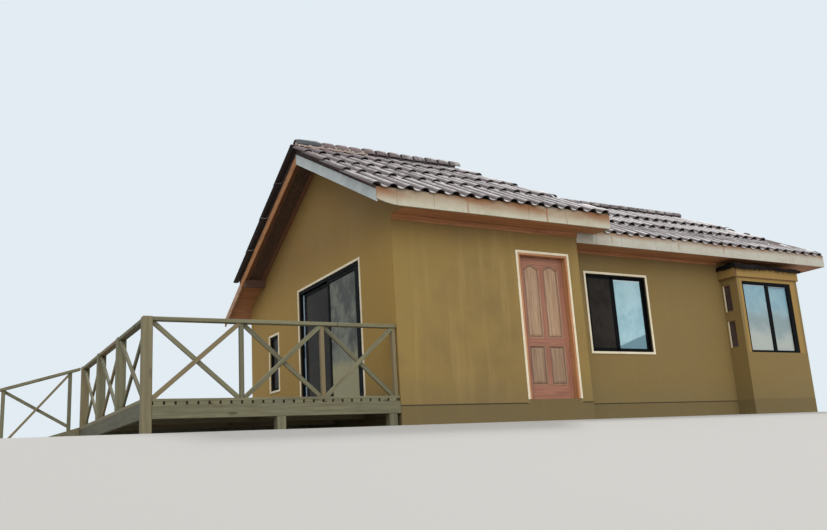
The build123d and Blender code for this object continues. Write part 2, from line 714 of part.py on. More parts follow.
inner_y, inner_z = grow(patio_y, -patio_frame), grow(patio_z, -patio_frame)
patio_middle = (inner_y[0] + inner_y[1]) / 2
fixed_x = (gable_x + 2 * patio_set_back, gable_x + 2 * patio_set_back + panel_thickness)
slide_x = (fixed_x[1] + clearance, fixed_x[1] + clearance + panel_thickness)
fixed_y = (inner_y[0], patio_middle + panel_stile / 2)
slide_y = (patio_middle - panel_stile / 2, inner_y[1] - clearance)
slide_z = grow(inner_z, -clearance)
slide_middle = (slide_x[0] + slide_x[1]) / 2
with BuildPart() as patio_door_frame:
    with BuildSketch(Plane.YZ.offset(gable_x + patio_set_back)):
        ring(patio_y, patio_z, patio_frame)
    extrude(amount=patio_frame_depth)
    with BuildSketch(Plane.YZ.offset(slide_middle - runner / 2)):
        rect(inner_y, (inner_z[0], slide_z[0] - seat_gap))
    extrude(amount=runner)
write(patio_door_frame, "patio_door_frame")

with BuildPart() as patio_fixed_panel:
    with BuildSketch(Plane.YZ.offset(fixed_x[0])):
        ring(fixed_y, inner_z, panel_stile)
    extrude(amount=panel_thickness)
write(patio_fixed_panel, "patio_fixed_panel")

with BuildPart() as patio_sliding_panel:
    with BuildSketch(Plane.YZ.offset(slide_x[0])):
        ring(slide_y, slide_z, panel_stile)
    extrude(amount=panel_thickness)
write(patio_sliding_panel, "patio_sliding_panel")

with BuildPart() as patio_sliding_glass:
    with BuildSketch(Plane.YZ.offset(slide_middle - glass / 2)):
        rect(grow(slide_y, -panel_stile), grow(slide_z, -panel_stile))
    extrude(amount=glass)
write(patio_sliding_glass, "patio_sliding_glass")

# Small window in the gable wall
with BuildPart() as small_window_trim:
    with BuildSketch(Plane.YZ.offset(gable_x - trim_proud)):
        ring(grow(small_y, trim), grow(small_z, trim), trim)
    extrude(amount=trim_proud)
write(small_window_trim, "small_window_trim")

with BuildPart() as small_window_frame:
    with BuildSketch(Plane.YZ.offset(gable_x + frame_set_back)):
        ring(small_y, small_z, sash)
    extrude(amount=sash_depth)
write(small_window_frame, "small_window_frame")

# Wide window, whose two sashes meet in the middle
with BuildPart() as window_trim:
    with BuildSketch(Plane.XZ.offset(-low_front_y)):
        ring(grow(window_x, trim), grow(window_z, trim), trim)
    extrude(amount=trim_proud)
write(window_trim, "window_trim")

window_back = low_front_y + frame_set_back + sash_depth
window_middle = (window_x[0] + window_x[1]) / 2
with BuildPart() as window_frame:
    with BuildSketch(Plane.XZ.offset(-window_back)):
        ring(window_x, window_z, sash)
        rect((window_middle - meeting / 2, window_middle + meeting / 2), grow(window_z, -sash / 2))
    extrude(amount=sash_depth)
write(window_frame, "window_frame")

# Bay: a shallow box on the plinth, with a wide window in front and two small lights in each side
bay_open_x = (bay_x[0] + bay_left_post, bay_x[1] - bay_right_post)
bay_open_z = (plinth_height + bay_sill, plinth_height + bay_sill + bay_height)
light_y = (bay_y[0] + light_front, bay_y[1] - light_back)
lights = [bay_open_z[0] + light_foot, bay_open_z[0] + light_foot + light_height + light_gap]
light_z = [(z, z + light_height) for z in lights]
with BuildPart() as bay_base:
    with BuildSketch(Plane.XY.offset(plinth_height)):
        rect(bay_x, bay_y)
    extrude(amount=bay_sill)
write(bay_base, "bay_base")

with BuildPart() as bay_sides:
    for x in (bay_x[0], bay_x[1] - bay_wall):
        with BuildSketch(Plane.YZ.offset(x)):
            rect(bay_y, bay_z)
            for z in light_z:
                rect(light_y, z, Mode.SUBTRACT)
        extrude(amount=bay_wall)
write(bay_sides, "bay_sides")

with BuildPart() as bay_front:
    with BuildSketch(Plane.XZ.offset(-bay_y[0] - bay_wall)):
        rect(grow(bay_x, -bay_wall), bay_z)
        rect(bay_open_x, bay_open_z, Mode.SUBTRACT)
    extrude(amount=bay_wall)
write(bay_front, "bay_front")

header_z = (bay_z[1], bay_z[1] + header_height)
with BuildPart() as bay_header:
    with BuildSketch(Plane.XY.offset(header_z[0])):
        rect(grow(bay_x, header_lip), (bay_y[0] - header_lip / 2, bay_y[1]))
    extrude(amount=header_height)
write(bay_header, "bay_header")

with BuildPart() as bay_top_sheet:
    with BuildSketch(Plane.XY.offset(header_z[1])):
        rect((bay_x[0] - header_lip - sheet_lip, bay_x[1] + header_lip + sheet_tip),
             (bay_y[0] - header_lip, bay_y[1]))
    extrude(amount=sheet)
write(bay_top_sheet, "bay_top_sheet")

bay_middle = (bay_open_x[0] + bay_open_x[1]) / 2
bay_frame_y = (bay_y[0] + joint, bay_y[0] + joint + meeting)
with BuildPart() as bay_window_frame:
    with BuildSketch(Plane.XZ.offset(-bay_frame_y[1])):
        ring(bay_open_x, bay_open_z, sash)
        rect((bay_middle - meeting / 2, bay_middle + meeting / 2), grow(bay_open_z, -sash / 2))
    extrude(amount=meeting)
write(bay_window_frame, "bay_window_frame")

light_depth = bay_wall - 2 * runner
with BuildPart() as bay_side_frames:
    for x in (bay_x[0] + runner, bay_x[1] - bay_wall + runner):
        with BuildSketch(Plane.YZ.offset(x)):
            for z in light_z:
                ring(light_y, z, light_sash)
        extrude(amount=light_depth)
write(bay_side_frames, "bay_side_frames")

# Every pane that doesn't move, each in the middle of its frame
with BuildPart() as window_glass:
    with BuildSketch(Plane.YZ.offset((fixed_x[0] + fixed_x[1] - glass) / 2)):
        rect(grow(fixed_y, -panel_stile), grow(inner_z, -panel_stile))
    extrude(amount=glass)
    with BuildSketch(Plane.YZ.offset(gable_x + frame_set_back + (sash_depth - glass) / 2)):
        rect(grow(small_y, -sash), grow(small_z, -sash))
    extrude(amount=glass)
    with BuildSketch(Plane.XZ.offset(-window_back + (sash_depth - glass) / 2)):
        rect((window_x[0] + sash, window_middle - meeting / 2), grow(window_z, -sash))
        rect((window_middle + meeting / 2, window_x[1] - sash), grow(window_z, -sash))
    extrude(amount=glass)
    with BuildSketch(Plane.XZ.offset(-bay_frame_y[1] + (meeting - glass) / 2)):
        rect((bay_open_x[0] + sash, bay_middle - meeting / 2), grow(bay_open_z, -sash))
        rect((bay_middle + meeting / 2, bay_open_x[1] - sash), grow(bay_open_z, -sash))
    extrude(amount=glass)
    for x in (bay_x[0], bay_x[1] - bay_wall):
        with BuildSketch(Plane.YZ.offset(x + (bay_wall - glass) / 2)):
            for z in light_z:
                rect(grow(light_y, -light_sash), grow(z, -light_sash))
        extrude(amount=glass)
write(window_glass, "window_glass")

# Deck: boards on a frame of beams, which stand on feet and butt against the corner post
deck_x = (gable_x - deck_length, gable_x)
deck_y = (front_y, front_y + deck_depth)
deck_z = plinth_height + deck_top
beam_z = (deck_z - deck_board - beam_height, deck_z - deck_board)
post_x, post_y = (deck_x[0], deck_x[0] + corner_post), (deck_y[0], deck_y[0] + corner_post)
with BuildPart() as deck_floor:
    with BuildSketch(Plane.XY.offset(beam_z[1])):
        rect((deck_x[0], gable_x - trim_proud), deck_y)
        rect(post_x, post_y, Mode.SUBTRACT)
    extrude(amount=deck_board)
write(deck_floor, "deck_floor")

with BuildPart() as deck_frame:
    with BuildSketch(Plane.XY.offset(beam_z[0])):
        for y in (deck_y[0], (deck_y[0] + deck_y[1] - beam) / 2, deck_y[1] - beam):
            rect(deck_x, (y, y + beam))
        for x in (deck_x[0], (deck_x[0] + deck_x[1] - beam) / 2, deck_x[1] - beam):
            rect((x, x + beam), deck_y)
        rect(post_x, post_y, Mode.SUBTRACT)
    extrude(amount=beam_height)
write(deck_frame, "deck_frame")

with BuildPart() as deck_feet:
    with BuildSketch():
        for x in (deck_x[0] + corner_post / 2, (deck_x[0] + deck_x[1]) / 2, deck_x[1] - foot):
            for y in (deck_y[0] + corner_post / 2, (deck_y[0] + deck_y[1]) / 2, deck_y[1] - foot / 2):
                if (x, y) != (deck_x[0] + corner_post / 2, deck_y[0] + corner_post / 2):
                    rect((x - foot / 2, x + foot / 2), (y - foot / 2, y + foot / 2))
    extrude(amount=beam_z[0])
write(deck_feet, "deck_feet")

rail_z = (deck_z + rail_height - rail_depth, deck_z + rail_height)


def crossed(a, b, z):
    """Two braces in the sketch that cross from corner to corner of one bay."""
    run, rise = b - a, z[1] - z[0]
    for turn in (1, -1):
        with Locations(Location(((a + b) / 2, (z[0] + z[1]) / 2), turn * degrees(atan(rise / run)))):
            Rectangle((run ** 2 + rise ** 2) ** 0.5 + brace, brace)


# Front railing: the corner post runs to the ground, thin posts stand on the deck
rail_y = (front_y, front_y + rail_width)
rail_middle_y = (rail_y[0] + rail_y[1]) / 2
rail_end_x = gable_x - trim_proud - clearance
front_bays = (rail_end_x - post_x[1]) / 3
front_posts = [post_x[1] + front_bays * i - (thin_post / 2 if i < 3 else thin_post) for i in (1, 2, 3)]
with BuildPart() as front_railing:
    with BuildSketch():
        rect(post_x, post_y)
    extrude(amount=rail_z[1])
    with BuildSketch(Plane.XY.offset(deck_z)):
        for x in front_posts:
            rect((x, x + thin_post), (rail_middle_y - thin_post / 2, rail_middle_y + thin_post / 2))
    extrude(amount=rail_height)
    with BuildSketch(Plane.XY.offset(rail_z[0])):
        rect((post_x[1], rail_end_x), rail_y)
    extrude(amount=rail_depth)
    with BuildSketch(Plane.XZ.offset(-rail_middle_y - brace_depth / 2)):
        for a, b in zip([post_x[1], front_posts[0] + thin_post, front_posts[1] + thin_post], front_posts):
            crossed(a, b, (deck_z, rail_z[0]))
        rect((post_x[1], rail_end_x), (deck_z, rail_z[0]), Mode.INTERSECT)
    extrude(amount=brace_depth)
write(front_railing, "front_railing")

# Side railing, from the corner post back to the ramp
ramp_y = (deck_y[1] - ramp_inset - ramp_width, deck_y[1] - ramp_inset)
side_middle_x = deck_x[0] + corner_post / 2
side_start = post_y[1]
side_bays = (ramp_y[0] - side_start - side_post / 2) / 3
side_posts = [side_start + side_bays * i - side_post / 2 for i in (1, 2, 3)]
with BuildPart() as side_railing:
    with BuildSketch(Plane.XY.offset(deck_z)):
        for y in side_posts:
            rect((side_middle_x - side_post / 2, side_middle_x + side_post / 2), (y, y + side_post))
    extrude(amount=rail_height)
    with BuildSketch(Plane.XY.offset(rail_z[0])):
        rect((side_middle_x - rail_width / 2, side_middle_x + rail_width / 2),
             (side_start, side_posts[2] + side_post))
    extrude(amount=rail_depth)
    with BuildSketch(Plane.YZ.offset(side_middle_x - brace_depth / 2)):
        side_starts = [side_start, side_posts[0] + side_post, side_posts[1] + side_post]
        for a, b in zip(side_starts, side_posts):
            crossed(a, b, (deck_z, rail_z[0]))
        rect((side_start, side_posts[2]), (deck_z, rail_z[0]), Mode.INTERSECT)
    extrude(amount=brace_depth)
write(side_railing, "side_railing")

# Ramp from the rear of the deck down to the ground: boards on tapered stringers
ramp_x = (deck_x[0] - ramp_run, deck_x[0])
ramp_rise = deck_z / ramp_run


def ramp_line(x, above=0):
    """A point over the ramp's surface, measured plumb."""
    return (x, ramp_rise * (x - ramp_x[0]) + above)


with BuildPart() as ramp:
    with BuildSketch(Plane.XZ.offset(-ramp_y[1])):
        Polygon(ramp_line(ramp_x[0]), ramp_line(ramp_x[0] + deck_board / ramp_rise, -deck_board),
                ramp_line(ramp_x[1], -deck_board), ramp_line(ramp_x[1]), align=None)
    extrude(amount=ramp_width)
    under_board = deck_board + stringer
    for y in (ramp_y[0] + beam, (ramp_y[0] + ramp_y[1] + beam) / 2, ramp_y[1]):
        with BuildSketch(Plane.XZ.offset(-y)):
            Polygon(ramp_line(ramp_x[0] + deck_board / ramp_rise, -deck_board),
                    ramp_line(ramp_x[0] + under_board / ramp_rise, -under_board),
                    ramp_line(ramp_x[1], -under_board), ramp_line(ramp_x[1], -deck_board), align=None)
        extrude(amount=beam)
write(ramp, "ramp")

high_post = ramp_x[1] - ramp_post_set - thin_post
low_post = high_post - ramp_post_gap + thin_post
ramp_post_x = [high_post, low_post - thin_post]
rail_foot = rail_height - rail_depth
ramp_rail_y = ramp_y[0] + rail_width / 2
with BuildPart() as ramp_railing:
    with BuildSketch(Plane.XZ.offset(-ramp_rail_y - thin_post / 2)):
        for x in ramp_post_x:
            Polygon(ramp_line(x), ramp_line(x + thin_post), ramp_line(x + thin_post, rail_height),
                    ramp_line(x, rail_height), align=None)
    extrude(amount=thin_post)
    with BuildSketch(Plane.XZ.offset(-ramp_rail_y - rail_width / 2)):
        rail_x = (ramp_x[0] + rail_width, ramp_x[1] - clearance)
        Polygon(ramp_line(rail_x[0], rail_foot), ramp_line(rail_x[1], rail_foot),
                ramp_line(rail_x[1], rail_height), ramp_line(rail_x[0], rail_height), align=None)
    extrude(amount=rail_width)
    with BuildSketch(Plane.XZ.offset(-ramp_rail_y - brace_depth / 2)):
        Polygon(ramp_line(low_post, brace), ramp_line(high_post, rail_foot - brace),
                ramp_line(high_post, rail_foot), ramp_line(low_post, 2 * brace), align=None)
        Polygon(ramp_line(low_post, rail_foot - brace), ramp_line(high_post, brace),
                ramp_line(high_post, 2 * brace), ramp_line(low_post, rail_foot), align=None)
    extrude(amount=brace_depth)
write(ramp_railing, "ramp_railing")

print("gable", gable_x, "front", front_y, "corner", corner_x, "end", end_x, "rear", rear_y)
print("ridges", tall_ridge_y, tall_ridge_z, low_ridge_y, low_ridge_z, "hips", tall_hip_pitch, low_hip_pitch)
print("leaf", leaf_x, leaf_y, leaf_z, "hinge", hinge_x, hinge_y, "slide", slide_x, slide_y, slide_z)
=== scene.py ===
import bpy
import math
import random
from mathutils import Matrix, Vector


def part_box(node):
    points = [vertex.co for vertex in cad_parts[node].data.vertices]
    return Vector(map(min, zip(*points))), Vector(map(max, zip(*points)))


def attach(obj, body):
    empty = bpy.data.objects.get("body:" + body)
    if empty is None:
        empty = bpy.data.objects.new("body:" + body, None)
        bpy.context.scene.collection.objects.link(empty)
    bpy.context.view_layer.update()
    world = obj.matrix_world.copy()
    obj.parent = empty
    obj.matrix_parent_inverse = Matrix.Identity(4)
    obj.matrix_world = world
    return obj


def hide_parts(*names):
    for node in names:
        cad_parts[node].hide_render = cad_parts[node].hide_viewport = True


# Stucco and timber house with two tiled roofs and a pine deck. Metres, front facing -Y.

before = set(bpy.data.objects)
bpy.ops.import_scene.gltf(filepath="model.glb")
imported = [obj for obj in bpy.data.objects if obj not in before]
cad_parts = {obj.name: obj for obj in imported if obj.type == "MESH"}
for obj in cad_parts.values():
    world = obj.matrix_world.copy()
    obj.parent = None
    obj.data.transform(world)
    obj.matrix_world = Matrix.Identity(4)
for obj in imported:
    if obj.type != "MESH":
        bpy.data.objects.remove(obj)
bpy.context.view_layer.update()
bpy.ops.object.select_all(action="DESELECT")
dice = random.Random(41)
print("frame loaded")


# Small helpers for the edit steps that come back everywhere

def pick(*pieces):
    bpy.ops.object.select_all(action="DESELECT")
    for piece in pieces:
        piece.select_set(True)
    bpy.context.view_layer.objects.active = pieces[0]


def applyPlace(piece):
    pick(piece)
    bpy.ops.object.transform_apply(location=True, rotation=True, scale=True)


def editWhole(piece, *steps):  # each step works on the whole mesh in edit mode
    pick(piece)
    bpy.ops.object.mode_set(mode="EDIT")
    for step in steps:
        bpy.ops.mesh.select_all(action="SELECT")
        step()
    bpy.ops.object.mode_set(mode="OBJECT")


def faceOutwards():
    bpy.ops.mesh.normals_make_consistent(inside=False)


def drawOut(move):
    bpy.ops.mesh.extrude_region_move(TRANSFORM_OT_translate={"value": move})


def giveWall(piece, thickness, offset):  # a bare skin gets its thickness
    skin = piece.modifiers.new("skin", "SOLIDIFY")
    skin.thickness, skin.offset = thickness, offset
    pick(piece)
    bpy.ops.object.modifier_apply(modifier=skin.name)


def joinAll(name, pieces):
    pick(*pieces)
    if len(pieces) > 1:
        bpy.ops.object.join()
    piece = bpy.context.object
    piece.name = piece.data.name = name
    return piece


def cutAway(piece, point, normal, fill=True):  # removes what lies on the normal's side
    editWhole(piece, lambda: bpy.ops.mesh.bisect(plane_co=point, plane_no=normal, use_fill=fill,
                                                 clear_outer=True))


def scoreAcross(piece, points, normal):  # rings of edges, so that the piece can be shaped between them
    pick(piece)
    bpy.ops.object.mode_set(mode="EDIT")
    for point in points:
        bpy.ops.mesh.select_all(action="SELECT")
        bpy.ops.mesh.bisect(plane_co=point, plane_no=normal)
    bpy.ops.object.mode_set(mode="OBJECT")


def softenEdges(piece, width):
    editWhole(piece, lambda: bpy.ops.mesh.bevel(offset=width, segments=1, affect="EDGES"))


def smooth(piece, angle):
    pick(piece)
    bpy.ops.object.shade_smooth_by_angle(angle=math.radians(angle))


def stamp(piece, along=None, tone=None):  # each board keeps its own tone and the run of its grain
    data = piece.data
    tone = dice.uniform(-1, 1) if tone is None else tone
    if along is None:
        places = [[v.co[i] for v in data.vertices] for i in range(3)]
        size = [max(values) - min(values) for values in places]
        along = size.index(max(size))
    order = [along, (along + 1) % 3, (along + 2) % 3]
    shift = [dice.uniform(0, 40) for i in range(3)]
    grain = [v.co[order[i]] + shift[i] for v in data.vertices for i in range(3)]
    data.attributes.new("tone", "FLOAT", "POINT").data.foreach_set("value", [tone] * len(data.vertices))
    data.attributes.new("grain", "FLOAT_VECTOR", "POINT").data.foreach_set("vector", grain)
    return piece


def board(low, high, bevel=.003, along=None, tone=None):
    bpy.ops.mesh.primitive_cube_add(size=1, location=[(a + b) / 2 for a, b in zip(low, high)])
    piece = bpy.context.object
    piece.scale = [b - a for a, b in zip(low, high)]
    applyPlace(piece)
    if bevel:
        softenEdges(piece, bevel)
    return stamp(piece, along, tone)


def sheet(outline, plane, level):  # a flat disc whose rim is drawn out to the outline
    axes = {"XZ": (0, 2, 1), "YZ": (1, 2, 0)}[plane]
    bpy.ops.mesh.primitive_circle_add(vertices=len(outline), radius=1, fill_type="NGON", location=(0, 0, 0))
    piece = bpy.context.object
    for v, point in zip(piece.data.vertices, outline):
        v.co[axes[0]], v.co[axes[1]], v.co[axes[2]] = point[0], point[1], level
    return piece


def plate(outline, plane, start, end, bevel=0, along=None, tone=None):  # an outline given thickness
    piece = sheet(outline, plane, start)
    move = {"XZ": (0, end - start, 0), "YZ": (end - start, 0, 0)}[plane]
    editWhole(piece, lambda: drawOut(move), faceOutwards)
    if bevel:
        softenEdges(piece, bevel)
    return stamp(piece, along, tone)


def finishPiece(piece, body, slot, look, *nodes):
    piece.data.materials.clear()
    piece.data.materials.append(looks[look])
    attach(piece, body)
    if nodes:
        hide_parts(*nodes)


# Material building

def paint(colour):  # a colour as it looks on screen
    return tuple(((c / 255 + .055) / 1.055) ** 2.4 if c > 10 else c / 3294.6 for c in colour) + (1,)


def node(tree, kind, inputs=None, **settings):
    made = tree.nodes.new(kind)
    for key, value in settings.items():
        setattr(made, key, value)
    for key, value in (inputs or {}).items():
        if isinstance(value, bpy.types.NodeSocket):
            tree.links.new(value, made.inputs[key])
        else:
            made.inputs[key].default_value = value
    return made


def calc(tree, operation, a, b=0.0):
    return node(tree, "ShaderNodeMath", {0: a, 1: b}, operation=operation).outputs[0]


def times(tree, a, b):
    return calc(tree, "MULTIPLY", a, b)


def plus(tree, a, b):
    return calc(tree, "ADD", a, b)


def minus(tree, a, b):
    return calc(tree, "SUBTRACT", a, b)


def fade(tree, value, start, end, low=0.0, high=1.0):
    made = node(tree, "ShaderNodeMapRange", {"Value": value, "From Min": start, "From Max": end,
                                             "To Min": low, "To Max": high}, interpolation_type="SMOOTHSTEP")
    return made.outputs["Result"]


def blendColour(tree, factor, a, b):
    return node(tree, "ShaderNodeMix", {0: factor, 6: a, 7: b}, data_type="RGBA").outputs[2]


def layer(tree, under, mask, share, colour):  # a colour laid over another where the mask is bright
    return blendColour(tree, times(tree, mask, share), under, paint(colour))


def noise(tree, vector, scale, detail=3.0, rough=.5, distortion=0.0):
    return node(tree, "ShaderNodeTexNoise", {"Vector": vector, "Scale": scale, "Detail": detail,
                                             "Roughness": rough, "Distortion": distortion}).outputs[0]


def stretched(tree, vector, scale, turn=(0, 0, 0)):
    return node(tree, "ShaderNodeMapping", {"Vector": vector, "Scale": scale, "Rotation": turn}).outputs[0]


def scaled(tree, vector, size):
    return node(tree, "ShaderNodeVectorMath", {0: vector, "Scale": size}, operation="SCALE").outputs[0]


def split(tree, vector):
    return node(tree, "ShaderNodeSeparateXYZ", {0: vector}).outputs


def attribute(tree, name, output="Fac"):
    return node(tree, "ShaderNodeAttribute", attribute_name=name).outputs[output]


def surfaceNormal(tree):
    return node(tree, "ShaderNodeNewGeometry").outputs["Normal"]


def newGroup(name, inputs, outputs):
    group = bpy.data.node_groups.new(name, "ShaderNodeTree")
    for label, kind, value in inputs:
        socket = group.interface.new_socket(label, in_out="INPUT", socket_type="NodeSocket" + kind)
        if value is not None:
            socket.default_value = value
    for label in outputs:
        group.interface.new_socket(label, in_out="OUTPUT", socket_type="NodeSocketFloat")
    return group, group.nodes.new("NodeGroupInput").outputs, group.nodes.new("NodeGroupOutput").inputs


def makeTrowelGroup():  # cloudy tone, upright streaks and a fine grit, for stucco, paint, tile and glass
    group, given, out = newGroup("trowelMarks", [("Vector", "Vector", None), ("Cloud Size", "Float", 1.0),
                                                 ("Grit Size", "Float", 1.0)], ["Cloud", "Streak", "Grit"])
    near = scaled(group, given["Vector"], given["Cloud Size"])
    big = noise(group, near, 1.1, 4, .55)
    middle = noise(group, near, 4.3, 5, .6, .4)
    group.links.new(plus(group, times(group, big, .6), times(group, middle, .4)), out["Cloud"])
    group.links.new(noise(group, stretched(group, given["Vector"], (7, 7, .55)), 1.0, 4, .6), out["Streak"])
    group.links.new(noise(group, scaled(group, given["Vector"], given["Grit Size"]), 170, 3, .6), out["Grit"])
    return group


def makeGrainGroup():  # long fibres, broad figure and knots, running along X
    group, given, out = newGroup("timberGrain", [("Vector", "Vector", None), ("Fibre", "Float", 1.0)],
                                 ["Fibres", "Figure", "Knots"])
    bend = noise(group, stretched(group, given["Vector"], (1.2, 5, 5)), 1.0, 2)
    push = node(group, "ShaderNodeCombineXYZ", {"Y": times(group, bend, .05), "Z": times(group, bend, .03)})
    pushed = node(group, "ShaderNodeVectorMath", {0: given["Vector"], 1: push.outputs[0]}, operation="ADD")
    sized = scaled(group, pushed.outputs[0], given["Fibre"])
    group.links.new(noise(group, stretched(group, sized, (5, 150, 150)), 1.0, 4, .65), out["Fibres"])
    group.links.new(noise(group, stretched(group, sized, (1.3, 26, 26)), 1.0, 3, .55, .6), out["Figure"])
    spots = node(group, "ShaderNodeTexVoronoi", {"Vector": stretched(group, given["Vector"], (2.1, 7, 7)),
                                                 "Scale": 1.0, "Randomness": 1.0}).outputs["Distance"]
    group.links.new(fade(group, spots, .16, .07), out["Knots"])
    return group


def makeGrimeGroup():  # splashes near a level, and dust on what faces up
    group, given, out = newGroup("groundGrime", [("Vector", "Vector", None), ("Level", "Float", 0.0),
                                                 ("Reach", "Float", .4)], ["Splash", "Dust"])
    height = split(group, given["Vector"])[2]
    ragged = plus(group, height, times(group, noise(group, given["Vector"], 3.1, 5, .6), -.35))
    high = plus(group, given["Level"], given["Reach"])
    low = minus(group, given["Level"], .25)
    group.links.new(fade(group, ragged, high, low), out["Splash"])
    facingUp = split(group, surfaceNormal(group))[2]
    speckle = fade(group, noise(group, given["Vector"], 9, 5, .65), .35, .7)
    group.links.new(times(group, fade(group, facingUp, .3, .95), speckle), out["Dust"])
    return group


trowelGroup, grainGroup, grimeGroup = makeTrowelGroup(), makeGrainGroup(), makeGrimeGroup()


def startMaterial(name, bumpStrength, bumpDistance):
    material = bpy.data.materials.new(name)
    material.use_nodes = True
    tree = material.node_tree
    shader = tree.nodes["Principled BSDF"]
    bump = node(tree, "ShaderNodeBump", {"Strength": bumpStrength, "Distance": bumpDistance})
    tree.links.new(bump.outputs[0], shader.inputs["Normal"])
    place = node(tree, "ShaderNodeTexCoord").outputs["Object"]

    def finish(colour, rough, relief):
        tree.links.new(colour, shader.inputs["Base Color"])
        tree.links.new(rough, shader.inputs["Roughness"])
        tree.links.new(relief, bump.inputs["Height"])
        return material

    return tree, place, finish


def use(tree, group, inputs):
    return node(tree, "ShaderNodeGroup", inputs, node_tree=group).outputs


stucco = {"mid": (138, 114, 60), "light": (150, 125, 72), "dark": (122, 99, 52), "shade": (104, 76, 42),
          "dust": (108, 94, 60), "plinth": (90, 78, 45), "low": (118, 98, 55), "bay": (148, 117, 58),
          "gable": (161, 127, 56), "tintShare": .8, "leftTintShare": .6, "streakShare": .55, "eaveShadeShare": .5,
          "jointShare": .28, "dustShare": .5, "gritShare": .18, "eaveShadeFade": (2.45, 3.25), "jointEvery": 1.22,
          "jointShift": 50.13}


def makeStucco(name, tint=None, splashLevel=.3, splashReach=.35, leftOnly=False):
    tree, place, finish = startMaterial(name, .35, .004)
    marks = use(tree, trowelGroup, {"Vector": place, "Cloud Size": .62})
    x, y, z = split(tree, place)
    facing = split(tree, surfaceNormal(tree))
    clouds = fade(tree, marks["Cloud"], .3, .62)
    colour = blendColour(tree, clouds, paint(stucco["dark"]), paint(stucco["mid"]))
    colour = layer(tree, colour, fade(tree, marks["Streak"], .5, .72), stucco["streakShare"], stucco["light"])
    if tint:  # the gable's tint is painted light that makes its left face lighter and warmer; it stays on that face, so that its return keeps the front wall's colour
        share = stucco["tintShare"]
        if leftOnly:
            share = fade(tree, facing[0], -.5, -.9, 0, stucco["leftTintShare"])
        colour = blendColour(tree, share, colour, paint(tint))
    # painted shade under the eaves: the wall goes darker towards the soffit, with a ragged edge
    paintedEaveShade = fade(tree, plus(tree, z, times(tree, marks["Cloud"], .5)), *stucco["eaveShadeFade"])
    colour = layer(tree, colour, paintedEaveShade, stucco["eaveShadeShare"], stucco["shade"])
    lines = []  # faint joints of the sheets under the stucco, along both directions
    for run, side in ((x, facing[1]), (y, facing[0])):
        shifted = plus(tree, run, stucco["jointShift"])
        part = calc(tree, "FRACT", calc(tree, "DIVIDE", shifted, stucco["jointEvery"]))
        line = fade(tree, calc(tree, "ABSOLUTE", minus(tree, part, .5)), .008, .002)
        lines.append(times(tree, line, calc(tree, "ABSOLUTE", side)))
    joint = times(tree, plus(tree, *lines), fade(tree, marks["Cloud"], .4, .6))
    splash = use(tree, grimeGroup, {"Vector": place, "Level": splashLevel, "Reach": splashReach})["Splash"]
    colour = layer(tree, colour, joint, stucco["jointShare"], stucco["dark"])
    colour = layer(tree, colour, splash, stucco["dustShare"], stucco["dust"])
    colour = layer(tree, colour, fade(tree, marks["Grit"], .35, .7), stucco["gritShare"], stucco["dark"])
    relief = plus(tree, times(tree, marks["Grit"], .35), times(tree, marks["Cloud"], .9))
    relief = minus(tree, relief, times(tree, joint, .5))
    return finish(colour, fade(tree, marks["Cloud"], .3, .7, .72, .9), relief)


timber = {"fibreShare": .45, "fibreDark": .72, "dust": (176, 168, 150), "dustShare": .25, "secondShare": .75,
          "grooveShadeShare": .7}


def makeTimber(name, light, dark, knot, along=None, roughness=.72, weather=None, fibre=1.0, toneSpread=.35,
               knots=.8, second=None, grooveShade=None):  # along: the grain's axis where no board has its own
    tree, place, finish = startMaterial(name, .35, .002)
    if along is None:
        run, tone = attribute(tree, "grain", "Vector"), attribute(tree, "tone")
    else:
        run = stretched(tree, place, (1, 1, 1), (0, 0, -math.pi / 2 if along == "Y" else 0))
        tone = minus(tree, noise(tree, place, .7, 1), .5)
    grain = use(tree, grainGroup, {"Vector": run, "Fibre": fibre})
    colour = blendColour(tree, fade(tree, grain["Figure"], .32, .68), paint(light), paint(dark))
    colour = layer(tree, colour, fade(tree, grain["Fibres"], .45, .75), timber["fibreShare"],
                   [c * timber["fibreDark"] for c in dark])
    colour = layer(tree, colour, grain["Knots"], knots, knot)
    if weather:
        colour = layer(tree, colour, fade(tree, noise(tree, place, 2.3, 5, .65), .3, .65), *weather)
    dust = use(tree, grimeGroup, {"Vector": place})["Dust"]
    colour = layer(tree, colour, dust, timber["dustShare"], timber["dust"])
    if second:
        colour = layer(tree, colour, fade(tree, tone, .2, .7), timber["secondShare"], second)
    # painted shade in the grooves round the door panels' fields
    if grooveShade:
        groove = fade(tree, attribute(tree, "grooveShade"), .5, 1)
        colour = layer(tree, colour, groove, timber["grooveShadeShare"], grooveShade)
    bright = plus(tree, times(tree, tone, toneSpread * .5), 1)
    colour = node(tree, "ShaderNodeHueSaturation", {"Value": bright, "Color": colour}).outputs[0]
    rough = fade(tree, grain["Fibres"], .3, .8, roughness - .08, min(roughness + .14, 1))
    relief = minus(tree, times(tree, grain["Fibres"], -.7), times(tree, grain["Figure"], .4))
    return finish(colour, rough, relief)


tileLooks = {"body": (148, 142, 141), "plum": (94, 83, 84), "pale": (222, 218, 216), "dark": (34, 30, 31),
             "red": (96, 64, 64), "first": (64, 67, 70), "lit": (.62, -.28, .73)}


